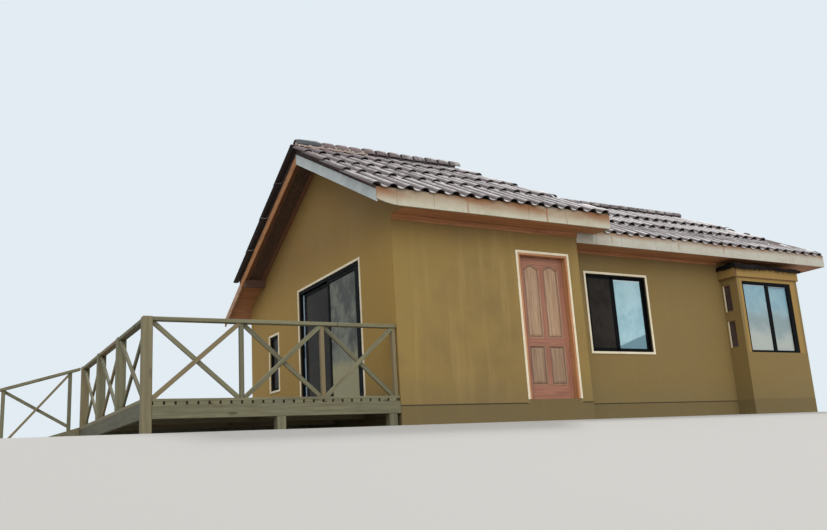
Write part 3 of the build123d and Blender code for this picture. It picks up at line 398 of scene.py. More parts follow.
def makeTileMaterial():
    tree, place, finish = startMaterial("tileClay", .4, .003)
    tone, lip = attribute(tree, "tone"), attribute(tree, "lip")
    marks = use(tree, trowelGroup, {"Vector": place, "Cloud Size": 5.0, "Grit Size": .8})
    parts = split(tree, place)
    normal = surfaceNormal(tree)
    flank = node(tree, "ShaderNodeVectorMath", {0: normal, 1: tileLooks["lit"]}, operation="DOT_PRODUCT")
    flank = flank.outputs["Value"]
    clouds, grit = marks["Cloud"], marks["Grit"]
    ridgeward = fade(tree, minus(tree, parts[2], times(tree, parts[0], .3)), 4.5, 5.2)
    # painted highlight: flanks that face the light go pale in patches
    paintedHighlight = times(tree, fade(tree, flank, .78, .98), fade(tree, clouds, .28, .5))
    paintedHighlight = times(tree, paintedHighlight, fade(tree, tone, -1.02, -.99))
    layers = (
        (fade(tree, clouds, .42, .66), .5, "pale"),
        (ridgeward, .75, "red"),  # strongest at the ridge's left end
        (paintedHighlight, .9, "pale"),
        # painted shade: flanks turned away from the light go plum, then dark
        (fade(tree, flank, .6, .1), .9, "plum"),
        (fade(tree, flank, -.15, -.55), .6, "dark"),
        (fade(tree, split(tree, normal)[2], -.1, -.6), .85, "dark"),  # painted shade on the undersides
        # painted highlight along the tiles' lower ends
        (fade(tree, lip, .35, .95), .55, "pale"),
        (fade(tree, grit, .56, .7), .3, "dark"),
        (fade(tree, tone, -1.6, -2.4), 1, "first"),  # the first ridge cap
    )
    colour = blendColour(tree, fade(tree, tone, -.9, .9), paint(tileLooks["plum"]), paint(tileLooks["body"]))
    for mask, share, shade in layers:
        colour = layer(tree, colour, mask, share, tileLooks[shade])
    return finish(colour, fade(tree, clouds, .3, .7, .55, .8), plus(tree, grit, clouds))


def makePainted(name, body, dirty, stain=None, roughness=.55, mixDirt=.5):  # stain: colour, upper edge, depth
    tree, place, finish = startMaterial(name, .25, .002)
    marks = use(tree, trowelGroup, {"Vector": place, "Cloud Size": 2.6, "Grit Size": .7})
    colour = layer(tree, paint(body), fade(tree, marks["Cloud"], .38, .68), mixDirt, dirty)
    if stain:  # rust washed down from the upper edge, with a few narrow runs
        rust, top, deep = stain
        height = split(tree, place)[2]
        broad = noise(tree, stretched(tree, place, (1.3, 1.3, 4)), 1.0, 3)
        narrow = noise(tree, stretched(tree, place, (15, 15, .8)), 1.0, 2)
        wash = times(tree, fade(tree, height, top - deep, top), fade(tree, broad, .36, .6, .5, 1))
        runs = fade(tree, height, top - deep * 2.4, top - deep * .3)
        runs = times(tree, runs, fade(tree, narrow, .63, .74))
        colour = layer(tree, colour, calc(tree, "MAXIMUM", wash, runs), .92, rust)
    colour = layer(tree, colour, fade(tree, marks["Grit"], .5, .75), .2, [c * .7 for c in dirty])
    rough = fade(tree, marks["Cloud"], .3, .7, roughness - .08, roughness + .15)
    return finish(colour, rough, plus(tree, marks["Grit"], marks["Streak"]))


def makeGlass(name, tint, roughness, transmission, cloudy, ior, mirrored=()):
    tree, place, finish = startMaterial(name, .02, .001)
    marks = use(tree, trowelGroup, {"Vector": place, "Cloud Size": 1.8, "Grit Size": .4})
    shader = tree.nodes["Principled BSDF"]
    shader.inputs["Transmission Weight"].default_value = transmission
    shader.inputs["IOR"].default_value = ior
    # the pane's colours are painted: dark tones for the shaded room behind it, pale, blue and green tones for
    # the sky and ground it reflects
    colour = blendColour(tree, fade(tree, marks["Cloud"], .38, .62), paint(tint), paint(cloudy))
    x, y, z = split(tree, place)
    wave = noise(tree, place, 1.9, 4, .6)
    for kind, at, shade in mirrored:  # what the pane mirrors, painted by height
        if kind == "below":
            mask = fade(tree, plus(tree, z, times(tree, minus(tree, wave, .5), .9)), *at)
        elif kind == "hill":
            middle, half = at
            uneven = plus(tree, z, times(tree, minus(tree, wave, .5), .8))
            mask = times(tree, fade(tree, calc(tree, "ABSOLUTE", minus(tree, uneven, middle)), half, 0), .55)
        elif kind == "slope":  # rises to the right from the foot of the pane
            steep, foot, soft, start = at
            rise = plus(tree, times(tree, minus(tree, x, start), steep), foot)
            mask = fade(tree, minus(tree, z, plus(tree, rise, times(tree, wave, .06))), soft, 0)
        else:  # the upper end nearest the front
            level = minus(tree, z, times(tree, plus(tree, y, 1.7), .6))
            mask = times(tree, fade(tree, level, *at), fade(tree, wave, .35, .6))
        colour = blendColour(tree, mask, colour, paint(shade))
    rough = fade(tree, marks["Streak"], .4, .7, roughness, roughness + .05)
    return finish(colour, rough, marks["Cloud"])


looks = {
    "wall": makeStucco("ochreStucco"),
    # painted light: the gable's left face lighter and warmer than the front wall
    "gableWallLit": makeStucco("ochreGableLit", stucco["gable"], leftOnly=True),
    # painted shade: the low part's walls get a darker tint than the front wall
    "lowWall": makeStucco("ochreLowPartShaded", stucco["low"]),
    "bayWall": makeStucco("ochreBay", stucco["bay"]),
    "plinth": makeStucco("ochrePlinth", stucco["plinth"], splashLevel=.05, splashReach=.3),
    "tile": makeTileMaterial(),
    "mortar": makePainted("mortar", (176, 162, 152), (140, 116, 106), roughness=.85),
    # dark mortar, painted as the shade under the ridge caps
    "beddingShade": makePainted("ridgeBeddingShade", (44, 38, 36), (78, 68, 65), roughness=.9),
    "hipMortar": makePainted("hipMortar", (112, 102, 98), (84, 75, 72), roughness=.85),
    "fasciaTall": makePainted("fasciaPaintTall", (184, 180, 160), (160, 150, 124),
                              stain=((134, 80, 26), 2.97, .19)),
    "fasciaLow": makePainted("fasciaPaintLow", (178, 175, 162), (158, 150, 132),
                             stain=((146, 106, 74), 2.84, .09)),
    "soffit": makeTimber("soffitWood", (178, 118, 72), (150, 96, 56), (90, 56, 36), along="X",
                         weather=(.2, (132, 100, 72)), knots=.3),
    "rafter": makeTimber("roofTimber", (98, 68, 48), (70, 48, 36), (50, 34, 26), along="X", knots=.4),
    "rake": makeTimber("rakeLining", (88, 62, 44), (64, 44, 32), (44, 30, 22), toneSpread=.3, knots=.3,
                       second=(112, 72, 48)),
    "primer": makePainted("greyPrimer", (178, 186, 188), (156, 162, 162), roughness=.6, mixDirt=.6),
    "brownBoard": makeTimber("brownStainedBoard", (182, 124, 74), (150, 100, 60), (96, 62, 40),
                             weather=(.2, (130, 100, 74)), toneSpread=.1),
    "verge": makePainted("vergeShade", (62, 46, 44), (44, 34, 33), roughness=.9),
    "pinkBoard": makeTimber("pinkBoard", (170, 128, 96), (146, 108, 80), (100, 72, 56), along="Y",
                            weather=(.3, (168, 150, 134))),
    "trim": makePainted("creamTrim", (224, 214, 188), (190, 174, 140), roughness=.5),
    "doorFrame": makeTimber("doorStileWood", (156, 106, 82), (132, 84, 64), (96, 60, 46), fibre=1.2,
                            roughness=.55, toneSpread=.16, knots=.2),
    "doorPanel": makeTimber("doorPanelWood", (170, 140, 110), (144, 112, 86), (120, 84, 62), fibre=1.2,
                            roughness=.55, toneSpread=.14, knots=.25, grooveShade=(92, 56, 44)),
    "jamb": makeTimber("jambWood", (190, 136, 92), (160, 108, 68), (120, 76, 46), roughness=.6, toneSpread=.1,
                       knots=.3),
    "deck": makeTimber("deckPine", (118, 113, 84), (92, 87, 62), (58, 47, 32), weather=(.35, (108, 108, 86)),
                       toneSpread=.45, second=(106, 90, 62)),
    "floor": makeTimber("floorWood", (120, 92, 66), (92, 68, 48), (60, 42, 30), along="Y"),
    "blackFrame": makePainted("blackFrame", (6, 7, 9), (17, 18, 19)),
    "lightBrown": makePainted("lightFrame", (118, 92, 62), (92, 70, 48), roughness=.6),
    "jointBrown": makePainted("jointBrown", (96, 60, 36), (72, 44, 28), roughness=.8),
    "steel": makePainted("hingeSteel", (120, 118, 112), (84, 78, 70), roughness=.4),
    "paleMetal": makePainted("paleMetal", (160, 180, 196), (112, 142, 166), roughness=.45),
    "glare": makePainted("paintedGlareBead", (226, 238, 240), (200, 218, 222), roughness=.3),
    "felt": makePainted("darkFelt", (19, 17, 16), (46, 41, 38), roughness=.95),
    # a dark strip painted as the shade in the gap at the wall's foot
    "gap": makePainted("wallFootShade", (58, 48, 30), (40, 33, 22), roughness=.9),
    # the glass colours are painted: dark panes stand for the shaded rooms behind, sky, bay and patio panes
    # carry painted reflections
    "glassDark": makeGlass("glassDark", (58, 54, 50), .05, .3, (46, 43, 40), 1.09),
    "glassPurple": makeGlass("glassPurple", (98, 82, 78), .06, .3, (74, 62, 60), 1.25),
    "glassSky": makeGlass("glassSky", (150, 190, 202), .08, .15, (176, 210, 218), 1.3,
                          [("slope", (.352, 1.10, .03, 1.9), (112, 146, 158))]),
    "glassBay": makeGlass("glassBay", (128, 164, 180), .08, .15, (146, 178, 188), 1.3,
                          [("below", (2.05, 1.2), (176, 182, 176)), ("hill", (1.6, .3), (124, 140, 142))]),
    "glassPatio": makeGlass("glassPatio", (62, 64, 58), .08, .2, (118, 122, 106), 1.2,
                            [("below", (1.25, .95), (160, 154, 116)),
                             ("corner", (2.15, 2.34), (110, 160, 178))]),
}
looks["steel"].node_tree.nodes["Principled BSDF"].inputs["Metallic"].default_value = .9
for dull in ("blackFrame", "felt"):
    looks[dull].node_tree.nodes["Principled BSDF"].inputs["Specular IOR Level"].default_value = .06
print("materials ready")

# Measures of the roofs, read off the frame

tallLow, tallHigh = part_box("tall_roof_tiles")
lowLow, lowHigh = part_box("low_roof_tiles")
tallCapLow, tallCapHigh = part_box("tall_ridge_caps")
lowCapLow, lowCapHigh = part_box("low_ridge_caps")
frontPitch, rearPitch = math.radians(29.75), math.radians(28.07)
tallRidgeY = (tallCapLow.y + tallCapHigh.y) / 2
lowRidgeY = (lowCapLow.y + lowCapHigh.y) / 2
tallEaveZ = tallHigh.z - math.tan(frontPitch) * (tallRidgeY - tallLow.y)
lowEaveZ = lowHigh.z - math.tan(frontPitch) * (lowRidgeY - lowLow.y)
tallRearZ = tallHigh.z - math.tan(rearPitch) * (tallHigh.y - tallRidgeY)
tallHipPitch = math.atan((tallHigh.z - tallEaveZ) / (tallHigh.x - tallCapHigh.x))
lowHipPitch = math.atan((lowHigh.z - lowEaveZ) / (lowHigh.x - lowCapHigh.x))
ex, ey = Vector((1, 0, 0)), Vector((0, 1, 0))
frontUp = Vector((0, math.cos(frontPitch), math.sin(frontPitch)))
tallRearUp = Vector((0, -math.cos(rearPitch), math.sin(rearPitch)))
lowRearUp = Vector((0, -math.cos(frontPitch), math.sin(frontPitch)))
tallHipUp = Vector((-math.cos(tallHipPitch), 0, math.sin(tallHipPitch)))
lowHipUp = Vector((-math.cos(lowHipPitch), 0, math.sin(lowHipPitch)))
lowFrontNormal, lowRearNormal = ex.cross(frontUp), (-ex).cross(lowRearUp)
tallPeak = Vector((tallCapHigh.x, tallRidgeY, tallHigh.z))
lowPeak = Vector((lowCapHigh.x, lowRidgeY, lowHigh.z))
tallFrontEnd, tallRearEnd = (tallHigh.x, tallLow.y), (tallHigh.x, tallHigh.y)
lowFrontEnd, lowRearEnd = (lowHigh.x, lowLow.y), (lowHigh.x, lowHigh.y)


def cutAtHip(piece, peak, end, gone):  # an upright cut from peak to eave's end; gone lies on what goes
    run = Vector((end[0] - peak.x, end[1] - peak.y, 0))
    normal = Vector((run.y, -run.x, 0)).normalized()
    away = Vector((gone[0] - peak.x, gone[1] - peak.y, 0))
    cutAway(piece, peak, normal if normal.dot(away) > 0 else -normal)


# Wave tiles: a broad crest and a narrow trough, shaped once and laid in courses

tile = {"pitch": .235, "crestHalf": .071, "crestRise": .047, "crestSides": 16, "troughHalf": .0465,
        "troughDepth": .014, "troughSides": 10, "taper": .008, "flatten": .1, "wall": .01, "sink": .036,
        "lap": .11, "lip": .035, "unevenUp": .006, "unevenLift": .003, "sway": .5}


def makeTile():
    halves = []
    for trough, sides in ((False, tile["crestSides"]), (True, tile["troughSides"])):
        bpy.ops.mesh.primitive_cylinder_add(vertices=sides, radius=1, depth=1, end_fill_type="NOTHING",
                                            location=(0, .5, 0), rotation=(math.pi / 2, 0, 0))
        half = bpy.context.object
        applyPlace(half)
        cutAway(half, (0, 0, 0), (0, 0, 1 if trough else -1), fill=False)
        scoreAcross(half, [(0, tile["lip"], 0)], (0, 1, 0))
        for v in half.data.vertices:
            t = v.co.y
            if trough:
                v.co.x = v.co.x * (tile["troughHalf"] + tile["taper"] * t) + tile["pitch"] / 2
                v.co.z = v.co.z * tile["troughDepth"] - tile["sink"] * t
            else:
                v.co.x *= tile["crestHalf"] - tile["taper"] * t
                v.co.z = v.co.z * tile["crestRise"] * (1 - tile["flatten"] * t) - tile["sink"] * t
        halves.append(half)
    unit = joinAll("tileUnit", halves)
    editWhole(unit, lambda: bpy.ops.mesh.remove_doubles(threshold=.0005), faceOutwards)
    if sum(p.normal.z * p.area for p in unit.data.polygons) < 0:
        unit.data.flip_normals()
    giveWall(unit, tile["wall"], -1)
    lip = unit.data.attributes.new("lip", "FLOAT", "POINT")  # a pale edge at the lower end, a painted highlight
    lip.data.foreach_set("value", [0.0 if v.co.y > .01 else 1.0 if v.co.x > tile["crestHalf"] * .8 else .5
                                   for v in unit.data.vertices])
    smooth(unit, 50)
    return unit


tileUnit = makeTile()


def tileCourse(name, corner, across, up, columns, rows):
    normal = across.cross(up)
    laid = []
    for start, end, lift in rows:
        length = end - start + tile["lap"]
        for x in columns:
            base = corner + across * x + up * (start + dice.uniform(-tile["unevenUp"], tile["unevenUp"]))
            base += normal * (lift + dice.uniform(-tile["unevenLift"], tile["unevenLift"]))
            place = Matrix.Identity(4)
            for i in range(3):
                place[i][:] = across[i], up[i] * length, normal[i], base[i]
            sway = Matrix.Rotation(math.radians(dice.uniform(-tile["sway"], tile["sway"])), 4, "Y")
            copy = bpy.data.objects.new("tile", tileUnit.data.copy())
            bpy.context.collection.objects.link(copy)
            copy.data.transform(place @ sway)
            laid.append(stamp(copy, 1))
    return joinAll(name, laid)


def courseRows(starts, end, lift, rise=0.0):  # each course's start, end and height over the slope
    return [(a, b, lift + rise * i) for i, (a, b) in enumerate(zip(starts, starts[1:] + [end]))]


tallRoof = {"firstColumn": -2.5715, "columns": 18, "courses": [0, .97, 1.72, 2.46],
            "rearCourses": [0, .8, 1.6, 2.4], "hipCourses": [0, .9], "hipColumns": 25, "lift": .004,
            "rearLift": -.026, "hipLift": -.034, "rearVerge": .07, "ridgeGap": .05, "intoLow": .02}


def layTallRoof():
    beyond = (tallHigh.x + 1, tallRidgeY)
    wide = tallHigh.x - tallLow.x
    corner = Vector((tallLow.x, tallLow.y, tallEaveZ))
    columns = [tallRoof["firstColumn"] - tallLow.x + tile["pitch"] * i for i in range(tallRoof["columns"])]
    columns = [c for c in columns if c < wide + .1]
    length = (tallPeak - Vector((tallPeak.x, tallLow.y, tallEaveZ))).length
    rows = courseRows(tallRoof["courses"], length - tallRoof["ridgeGap"], tallRoof["lift"])
    front = tileCourse("front", corner, ex, frontUp, columns, rows)
    cutAtHip(front, tallPeak, tallFrontEnd, beyond)
    length = (tallPeak - Vector((tallPeak.x, tallHigh.y, tallRearZ))).length
    rows = courseRows(tallRoof["rearCourses"], length - tallRoof["ridgeGap"], tallRoof["rearLift"])
    columns = [wide - c for c in [columns[0] + tallRoof["rearVerge"]] + columns[1:]]
    rear = tileCourse("rear", Vector((tallHigh.x, tallHigh.y, tallRearZ)), -ex, tallRearUp, columns, rows)
    cutAtHip(rear, tallPeak, tallRearEnd, beyond)
    length = (tallPeak - Vector((tallHigh.x, tallRidgeY, tallEaveZ))).length
    rows = courseRows(tallRoof["hipCourses"], length, tallRoof["hipLift"])
    corner = Vector((tallHigh.x, tallLow.y, tallEaveZ))
    hips = []
    for isFront in (True, False):  # the hip on both sides of the low roof, which runs into it
        run = [tile["pitch"] * (i + .5) for i in range(tallRoof["hipColumns"])]
        run = [y for y in run
               if (y + tallLow.y < lowRidgeY + .1) == isFront or abs(y + tallLow.y - lowRidgeY) < .25]
        hip = tileCourse("hip", corner, ey, tallHipUp, run, rows)
        cutAtHip(hip, tallPeak, tallFrontEnd, (tallLow.x, tallLow.y - 3))
        cutAtHip(hip, tallPeak, tallRearEnd, (tallLow.x, tallHigh.y + 3))
        cutAway(hip, (0, lowRidgeY, 0), (0, 1 if isFront else -1, 0))
        inLow = lowPeak - Vector((0, 0, tallRoof["intoLow"]))
        cutAway(hip, inLow, -(lowFrontNormal if isFront else lowRearNormal))
        hips.append(hip)
    return joinAll("tall_tiles_laid", [front, rear] + hips)


lowRoof = {"firstColumn": 1.22, "columns": 25, "courses": [0, .89, 1.55], "hipCourses": [0, .85],
           "hipColumns": 18, "lift": -.03, "rise": .016, "ridgeGap": .04, "eaveDeep": .3, "eaveStart": 1.12,
           "intoTall": .14}


def layLowRoof():
    length = (lowPeak - Vector((lowPeak.x, lowLow.y, lowEaveZ))).length
    start = lowRoof["firstColumn"] - tile["pitch"]
    columns = [tile["pitch"] * i for i in range(-2, lowRoof["columns"])]
    rows = courseRows(lowRoof["courses"], length - lowRoof["ridgeGap"], lowRoof["lift"], lowRoof["rise"])
    hipBack = Vector((tallPeak.x - lowRoof["intoTall"], 0, tallPeak.z))  # a little inside the tall roof's hip
    hipIn = -(ey.cross(tallHipUp))
    slopes = []
    for name, toEave, y, across, up, end in (("front", -1, lowLow.y, ex, frontUp, lowFrontEnd),
                                             ("rear", 1, lowHigh.y, -ex, lowRearUp, lowRearEnd)):
        along = [-toEave * c for c in columns]
        slope = tileCourse(name, Vector((start, y, lowEaveZ)), across, up, along, rows)
        cutAtHip(slope, lowPeak, end, (lowHigh.x + 1, lowRidgeY))
        pick(slope)
        bpy.ops.object.duplicate()
        eave = bpy.context.object  # the lowest tiles run on to the corner, under the tall roof's eave
        edge = (0, y - toEave * lowRoof["eaveDeep"], 0)
        cutAway(eave, edge, (0, -toEave, 0))
        cutAway(eave, (lowRoof["eaveStart"], 0, 0), (-1, 0, 0))
        cutAway(slope, edge, (0, toEave, 0))
        cutAway(slope, hipBack, hipIn)
        slopes += [eave, slope]
    length = (lowPeak - Vector((lowHigh.x, lowRidgeY, lowEaveZ))).length
    run = [tile["pitch"] * (i + .5) for i in range(lowRoof["hipColumns"])]
    hip = tileCourse("hip", Vector((lowHigh.x, lowLow.y, lowEaveZ)), ey, lowHipUp, run,
                     courseRows(lowRoof["hipCourses"], length, lowRoof["lift"], lowRoof["rise"]))
    cutAtHip(hip, lowPeak, lowFrontEnd, (lowLow.x, lowLow.y - 3))
    cutAtHip(hip, lowPeak, lowRearEnd, (lowLow.x, lowHigh.y + 3))
    return joinAll("low_tiles_laid", slopes + [hip])


boarding = {"down": .024, "thick": .034, "left": .03, "right": .02, "front": .045, "rear": .02}


def makeBoarding():  # the boards that the tall roof's tiles lie on
    down, thick = boarding["down"], boarding["thick"]
    slopes = []
    for eaveY, y, eaveZ, end in ((tallLow.y, tallLow.y + boarding["front"], tallEaveZ, tallFrontEnd),
                                 (tallHigh.y, tallHigh.y - boarding["rear"], tallRearZ, tallRearEnd)):
        slant = (tallHigh.z - eaveZ) / abs(tallRidgeY - eaveY)
        z = eaveZ + slant * abs(y - eaveY)
        outline = [(y, z - down), (tallRidgeY, tallHigh.z - down), (tallRidgeY, tallHigh.z - down - thick),
                   (y, z - down - thick)]
        slope = plate(outline, "YZ", tallLow.x + boarding["left"], tallHigh.x - boarding["right"], 0, 0)
        cutAtHip(slope, tallPeak, end, (tallHigh.x + 1, tallRidgeY))
        slopes.append(slope)
    return joinAll("tall_roof_boarding", slopes)


finishPiece(makeBoarding(), "house", "raw_timber", "rafter")
finishPiece(layTallRoof(), "house", "roof_tile", "tile", "tall_roof_tiles")
finishPiece(layLowRoof(), "house", "roof_tile", "tile", "low_roof_tiles")
bpy.data.objects.remove(tileUnit)
print("tiles laid")

# Ridge caps: half-round, one to a column, bedded on mortar

caps = {"radius": .108, "lowRadius": .085, "joint": .034, "first": .45, "firstTone": -3,
        "tones": (-1.4, -1.03), "sides": 24, "wall": .013, "drawnIn": (.14, .82), "leftPull": .9,
        "rightPull": .86}


def ridgeCap(start, end, y, z, radius):
    bpy.ops.mesh.primitive_cylinder_add(vertices=caps["sides"], radius=radius, depth=end - start,
                                        end_fill_type="NOTHING", location=((start + end) / 2, y, z),
                                        rotation=(0, math.pi / 2, 0))
    cap = bpy.context.object
    applyPlace(cap)
    cutAway(cap, (0, y, z - .004), (0, 0, -1), fill=False)
    scoreAcross(cap, [(start + (end - start) * share, 0, 0) for share in caps["drawnIn"]], (1, 0, 0))
    for v in cap.data.vertices:
        t = (v.co.x - start) / (end - start)
        pull = caps["rightPull"] if t > .99 else caps["leftPull"] if t < .01 else 1.0
        v.co.y, v.co.z = y + (v.co.y - y) * pull, z + (v.co.z - z) * pull
    giveWall(cap, caps["wall"], -1)
    settle = Matrix.Translation((start, y, z + dice.uniform(-.005, .005)))
    lean = Matrix.Rotation(dice.uniform(-.03, .02), 4, "Y") @ Matrix.Rotation(dice.uniform(-.05, .05), 4, "X")
    cap.data.transform(settle @ lean @ Matrix.Translation((-start, -y, -z)))
    return stamp(cap, 0, caps["firstTone"] if end - start > .4 else dice.uniform(*caps["tones"]))


def ridgeRun(name, start, end, y, z, step, radius):
    made = []
    while start < end - .05:
        made.append(ridgeCap(start, min(start + step - caps["joint"], end), y, z, radius))
        start, step = start + step, tile["pitch"]
    piece = joinAll(name, made)
    smooth(piece, 40)
    return piece


tallCaps = ridgeRun("tall_ridge_laid", tallLow.x + .01, tallCapHigh.x + .02, tallRidgeY, tallHigh.z + .004,
                    caps["first"], caps["radius"])
finishPiece(tallCaps, "house", "roof_tile", "tile", "tall_ridge_caps")
lowCaps = ridgeRun("low_ridge_laid", lowCapLow.x + .02, lowCapHigh.x + .02, lowRidgeY, lowHigh.z,
                   tile["pitch"], caps["lowRadius"])
finishPiece(lowCaps, "house", "roof_tile", "tile", "low_ridge_caps")

mortar = {"radius": .082, "lowRadius": .066, "flat": .06, "paleRun": 1.15, "start": .04, "lumps": 26}


def ridgeMortar(start, end, y, z, radius):
    bpy.ops.mesh.primitive_cylinder_add(vertices=20, radius=radius, depth=end - start,
                                        location=((start + end) / 2, y, z), rotation=(0, math.pi / 2, 0))
    core = bpy.context.object
    applyPlace(core)
    cutAway(core, (0, y, z - mortar["flat"]), (0, 0, -1))
    smooth(core, 40)
    return stamp(core, 0)


def mortarLump(x):  # squeezed out along the front of the first caps
    y = tallRidgeY - caps["radius"] * dice.uniform(.97, 1.04)
    z = tallHigh.z - .028 + dice.uniform(-.008, .008)
    bpy.ops.mesh.primitive_uv_sphere_add(segments=10, ring_count=6, radius=1, location=(x, y, z))
    lump = bpy.context.object
    lump.scale = (dice.uniform(.028, .045), dice.uniform(.012, .02), dice.uniform(.012, .02))
    applyPlace(lump)
    return stamp(lump, 0)


bedStart = tallLow.x + mortar["start"]
bedEnd = bedStart + mortar["paleRun"]
bedZ = tallHigh.z - .004
paleRuns = [ridgeMortar(tallLow.x + .03, bedEnd, tallRidgeY, bedZ, mortar["radius"])]
darkRuns = [ridgeMortar(bedEnd, tallCapHigh.x - .1, tallRidgeY, bedZ, mortar["radius"]),
            ridgeMortar(lowCapLow.x + .05, lowCapHigh.x - .1, lowRidgeY, lowHigh.z - .006,
                        mortar["lowRadius"])]
for i in range(mortar["lumps"]):
    paleRuns.append(mortarLump(bedStart + mortar["paleRun"] * i / (mortar["lumps"] - 1)))
finishPiece(joinAll("ridge_mortar", paleRuns), "house", "concrete", "mortar")
# past the pale run the mortar is dark: painted shade under the caps
finishPiece(joinAll("ridge_bedding_shade", darkRuns), "house", "concrete", "beddingShade")
print("ridges capped")

# Hips bedded in mortar, down to the eaves

hipMortar = {"radius": .045, "down": .05, "short": .09, "rings": 24, "uneven": (.005, .005, .006)}


def hipBed(peak, corner):
    down = Vector((0, 0, -hipMortar["down"]))
    top, low = peak + down, corner + (peak - corner).normalized() * hipMortar["short"] + down
    run = low - top
    bpy.ops.mesh.primitive_cylinder_add(vertices=14, radius=hipMortar["radius"], depth=run.length,
                                        location=(top + low) / 2,
                                        rotation=run.to_track_quat("Z", "Y").to_euler())
    bed = bpy.context.object
    applyPlace(bed)
    rings = hipMortar["rings"]
    scoreAcross(bed, [top + run * (i / rings) for i in range(1, rings)], run.normalized())
    for v in bed.data.vertices:
        v.co += Vector([dice.uniform(-reach, reach) for reach in hipMortar["uneven"]])
    smooth(bed, 60)
    return stamp(bed, 0)


beds = [hipBed(peak, Vector((end[0], end[1], eaveZ)))
        for peak, end, eaveZ in ((tallPeak, tallFrontEnd, tallEaveZ), (tallPeak, tallRearEnd, tallRearZ),
                                 (lowPeak, lowFrontEnd, lowEaveZ), (lowPeak, lowRearEnd, lowEaveZ))]
finishPiece(joinAll("hip_mortar", beds), "house", "concrete", "hipMortar")

# Verge: barge boards that meet below the tiles' peak, a dark fill over them, boards lining the overhang

verge = {"top": .06, "rearTop": .082, "deep": .165, "peakDrop": .085, "fillTop": .012, "fillOverlap": .02,
         "lining": .18, "liningPeak": .07, "liningThick": .016, "liningBoards": 5, "edgeTone": .9}


def roofZ(y):
    pitch = frontPitch if y < tallRidgeY else rearPitch
    return tallHigh.z - math.tan(pitch) * abs(tallRidgeY - y)


def slopeStrip(y, top, under, peakTop, peakUnder, x, bevel, tone=None):  # y runs from the eave to the ridge
    eaveZ, peakZ = roofZ(y[0]), roofZ(y[1])
    outline = [(y[0], eaveZ - top), (y[1], peakZ - top - peakTop), (y[1], peakZ - under - peakUnder),
               (y[0], eaveZ - under)]
    return plate(outline, "YZ", x[0], x[1], bevel, 1, tone)


def makeVerge():
    front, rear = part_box("front_barge_board"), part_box("rear_barge_board")
    x = (front[0].x, front[1].x)
    runs = ((front[0].y, tallRidgeY - .001), (rear[1].y, tallRidgeY + .001))
    drop, bottom = verge["peakDrop"], verge["top"] + verge["deep"]
    barges = [slopeStrip(run, top, bottom, drop, drop, x, .003, 0)
              for run, top in zip(runs, (verge["top"], verge["rearTop"]))]
    behind = (x[1] - .006, x[1] + .002)
    fills = [slopeStrip(run, verge["fillTop"], bottom - verge["fillOverlap"], .01, .05, behind, 0)
             for run in runs]
    wide = (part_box("gable_wall_front")[0].x - .001 - x[1]) / verge["liningBoards"]
    lining = []
    for run in runs:
        for i in range(verge["liningBoards"]):
            across = (x[1] + wide * i + .001, x[1] + wide * (i + 1) - .002)
            tone = verge["edgeTone"] if i in (0, verge["liningBoards"] - 1) else dice.uniform(-.6, .1)
            lining.append(slopeStrip(run, verge["lining"], verge["lining"] + verge["liningThick"], 0,
                                     verge["liningPeak"], across, .0015, tone))
    return barges, fills, lining


barges, vergeFills, rakeLining = makeVerge()
finishPiece(joinAll("front_barge", barges[:1]), "house", "primer", "primer", "front_barge_board")
finishPiece(joinAll("rear_barge", barges[1:]), "house", "brown_stain", "brownBoard", "rear_barge_board")
finishPiece(joinAll("verge_fill", vergeFills), "house", "raw_timber", "verge")
finishPiece(joinAll("rake_lining", rakeLining), "house", "soffit_wood", "rake")

# Eaves: fascias in lengths of board, with the tall one's left end swept up

fascia = {"joints": [-2.27, -1.72, -1.19, -.19, .46],
          "lowJoints": [1.35, 1.855, 2.575, 3.145, 4.34, 4.985, 5.825], "gap": .004, "thick": .022,
          "sweep": .33, "sweepRise": .062, "sweepSteps": 14, "upTall": .056, "upLow": .04, "bevel": .0015}


def makeTallFascia():
    low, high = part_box("tall_fascia")
    edges = [low.x] + fascia["joints"] + [high.x]
    top = high.z + fascia["upTall"]
    made = []
    for a, b in zip(edges, edges[1:]):
        under = []
        steps = fascia["sweepSteps"] if a < low.x + fascia["sweep"] else 1
        for i in range(steps + 1):
            x = a + (b - a - fascia["gap"]) * i / steps
            t = max(0, 1 - (x - low.x) / fascia["sweep"])
            under.append((x, low.z + fascia["sweepRise"] * t ** 1.8))
        made.append(plate(under + [(under[-1][0], top), (under[0][0], top)], "XZ", low.y, high.y, along=0))
    return joinAll("tall_fascia_boards", made)


def makeLowFascia():
    low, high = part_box("low_fascia")
    high.z += fascia["upLow"]
    thick, bevel = fascia["thick"], fascia["bevel"]
    edges = [low.x] + fascia["lowJoints"] + [high.x]
    made = []
    for front, back in ((low.y, low.y + thick), (high.y - thick, high.y)):
        for a, b in zip(edges, edges[1:]):
            made.append(board((a, front, low.z), (b - fascia["gap"], back, high.z), bevel, 0))
    for a, b in ((low.y + thick, lowRidgeY), (lowRidgeY + .003, high.y - thick)):
        made.append(board((high.x - thick, a, low.z), (high.x, b, high.z), bevel, 1))
    return joinAll("low_fascia_boards", made)


finishPiece(makeTallFascia(), "house", "fascia_paint", "fasciaTall", "tall_fascia")
finishPiece(makeLowFascia(), "house", "fascia_paint", "fasciaLow", "low_fascia")

# Moulding where the walls meet the soffits

moulding = {"proud": .016, "headProud": .028, "drop": .075, "head": .03, "lowDrop": .05, "joint": .2,
            "lowEnd": 4.36, "bevel": .005}


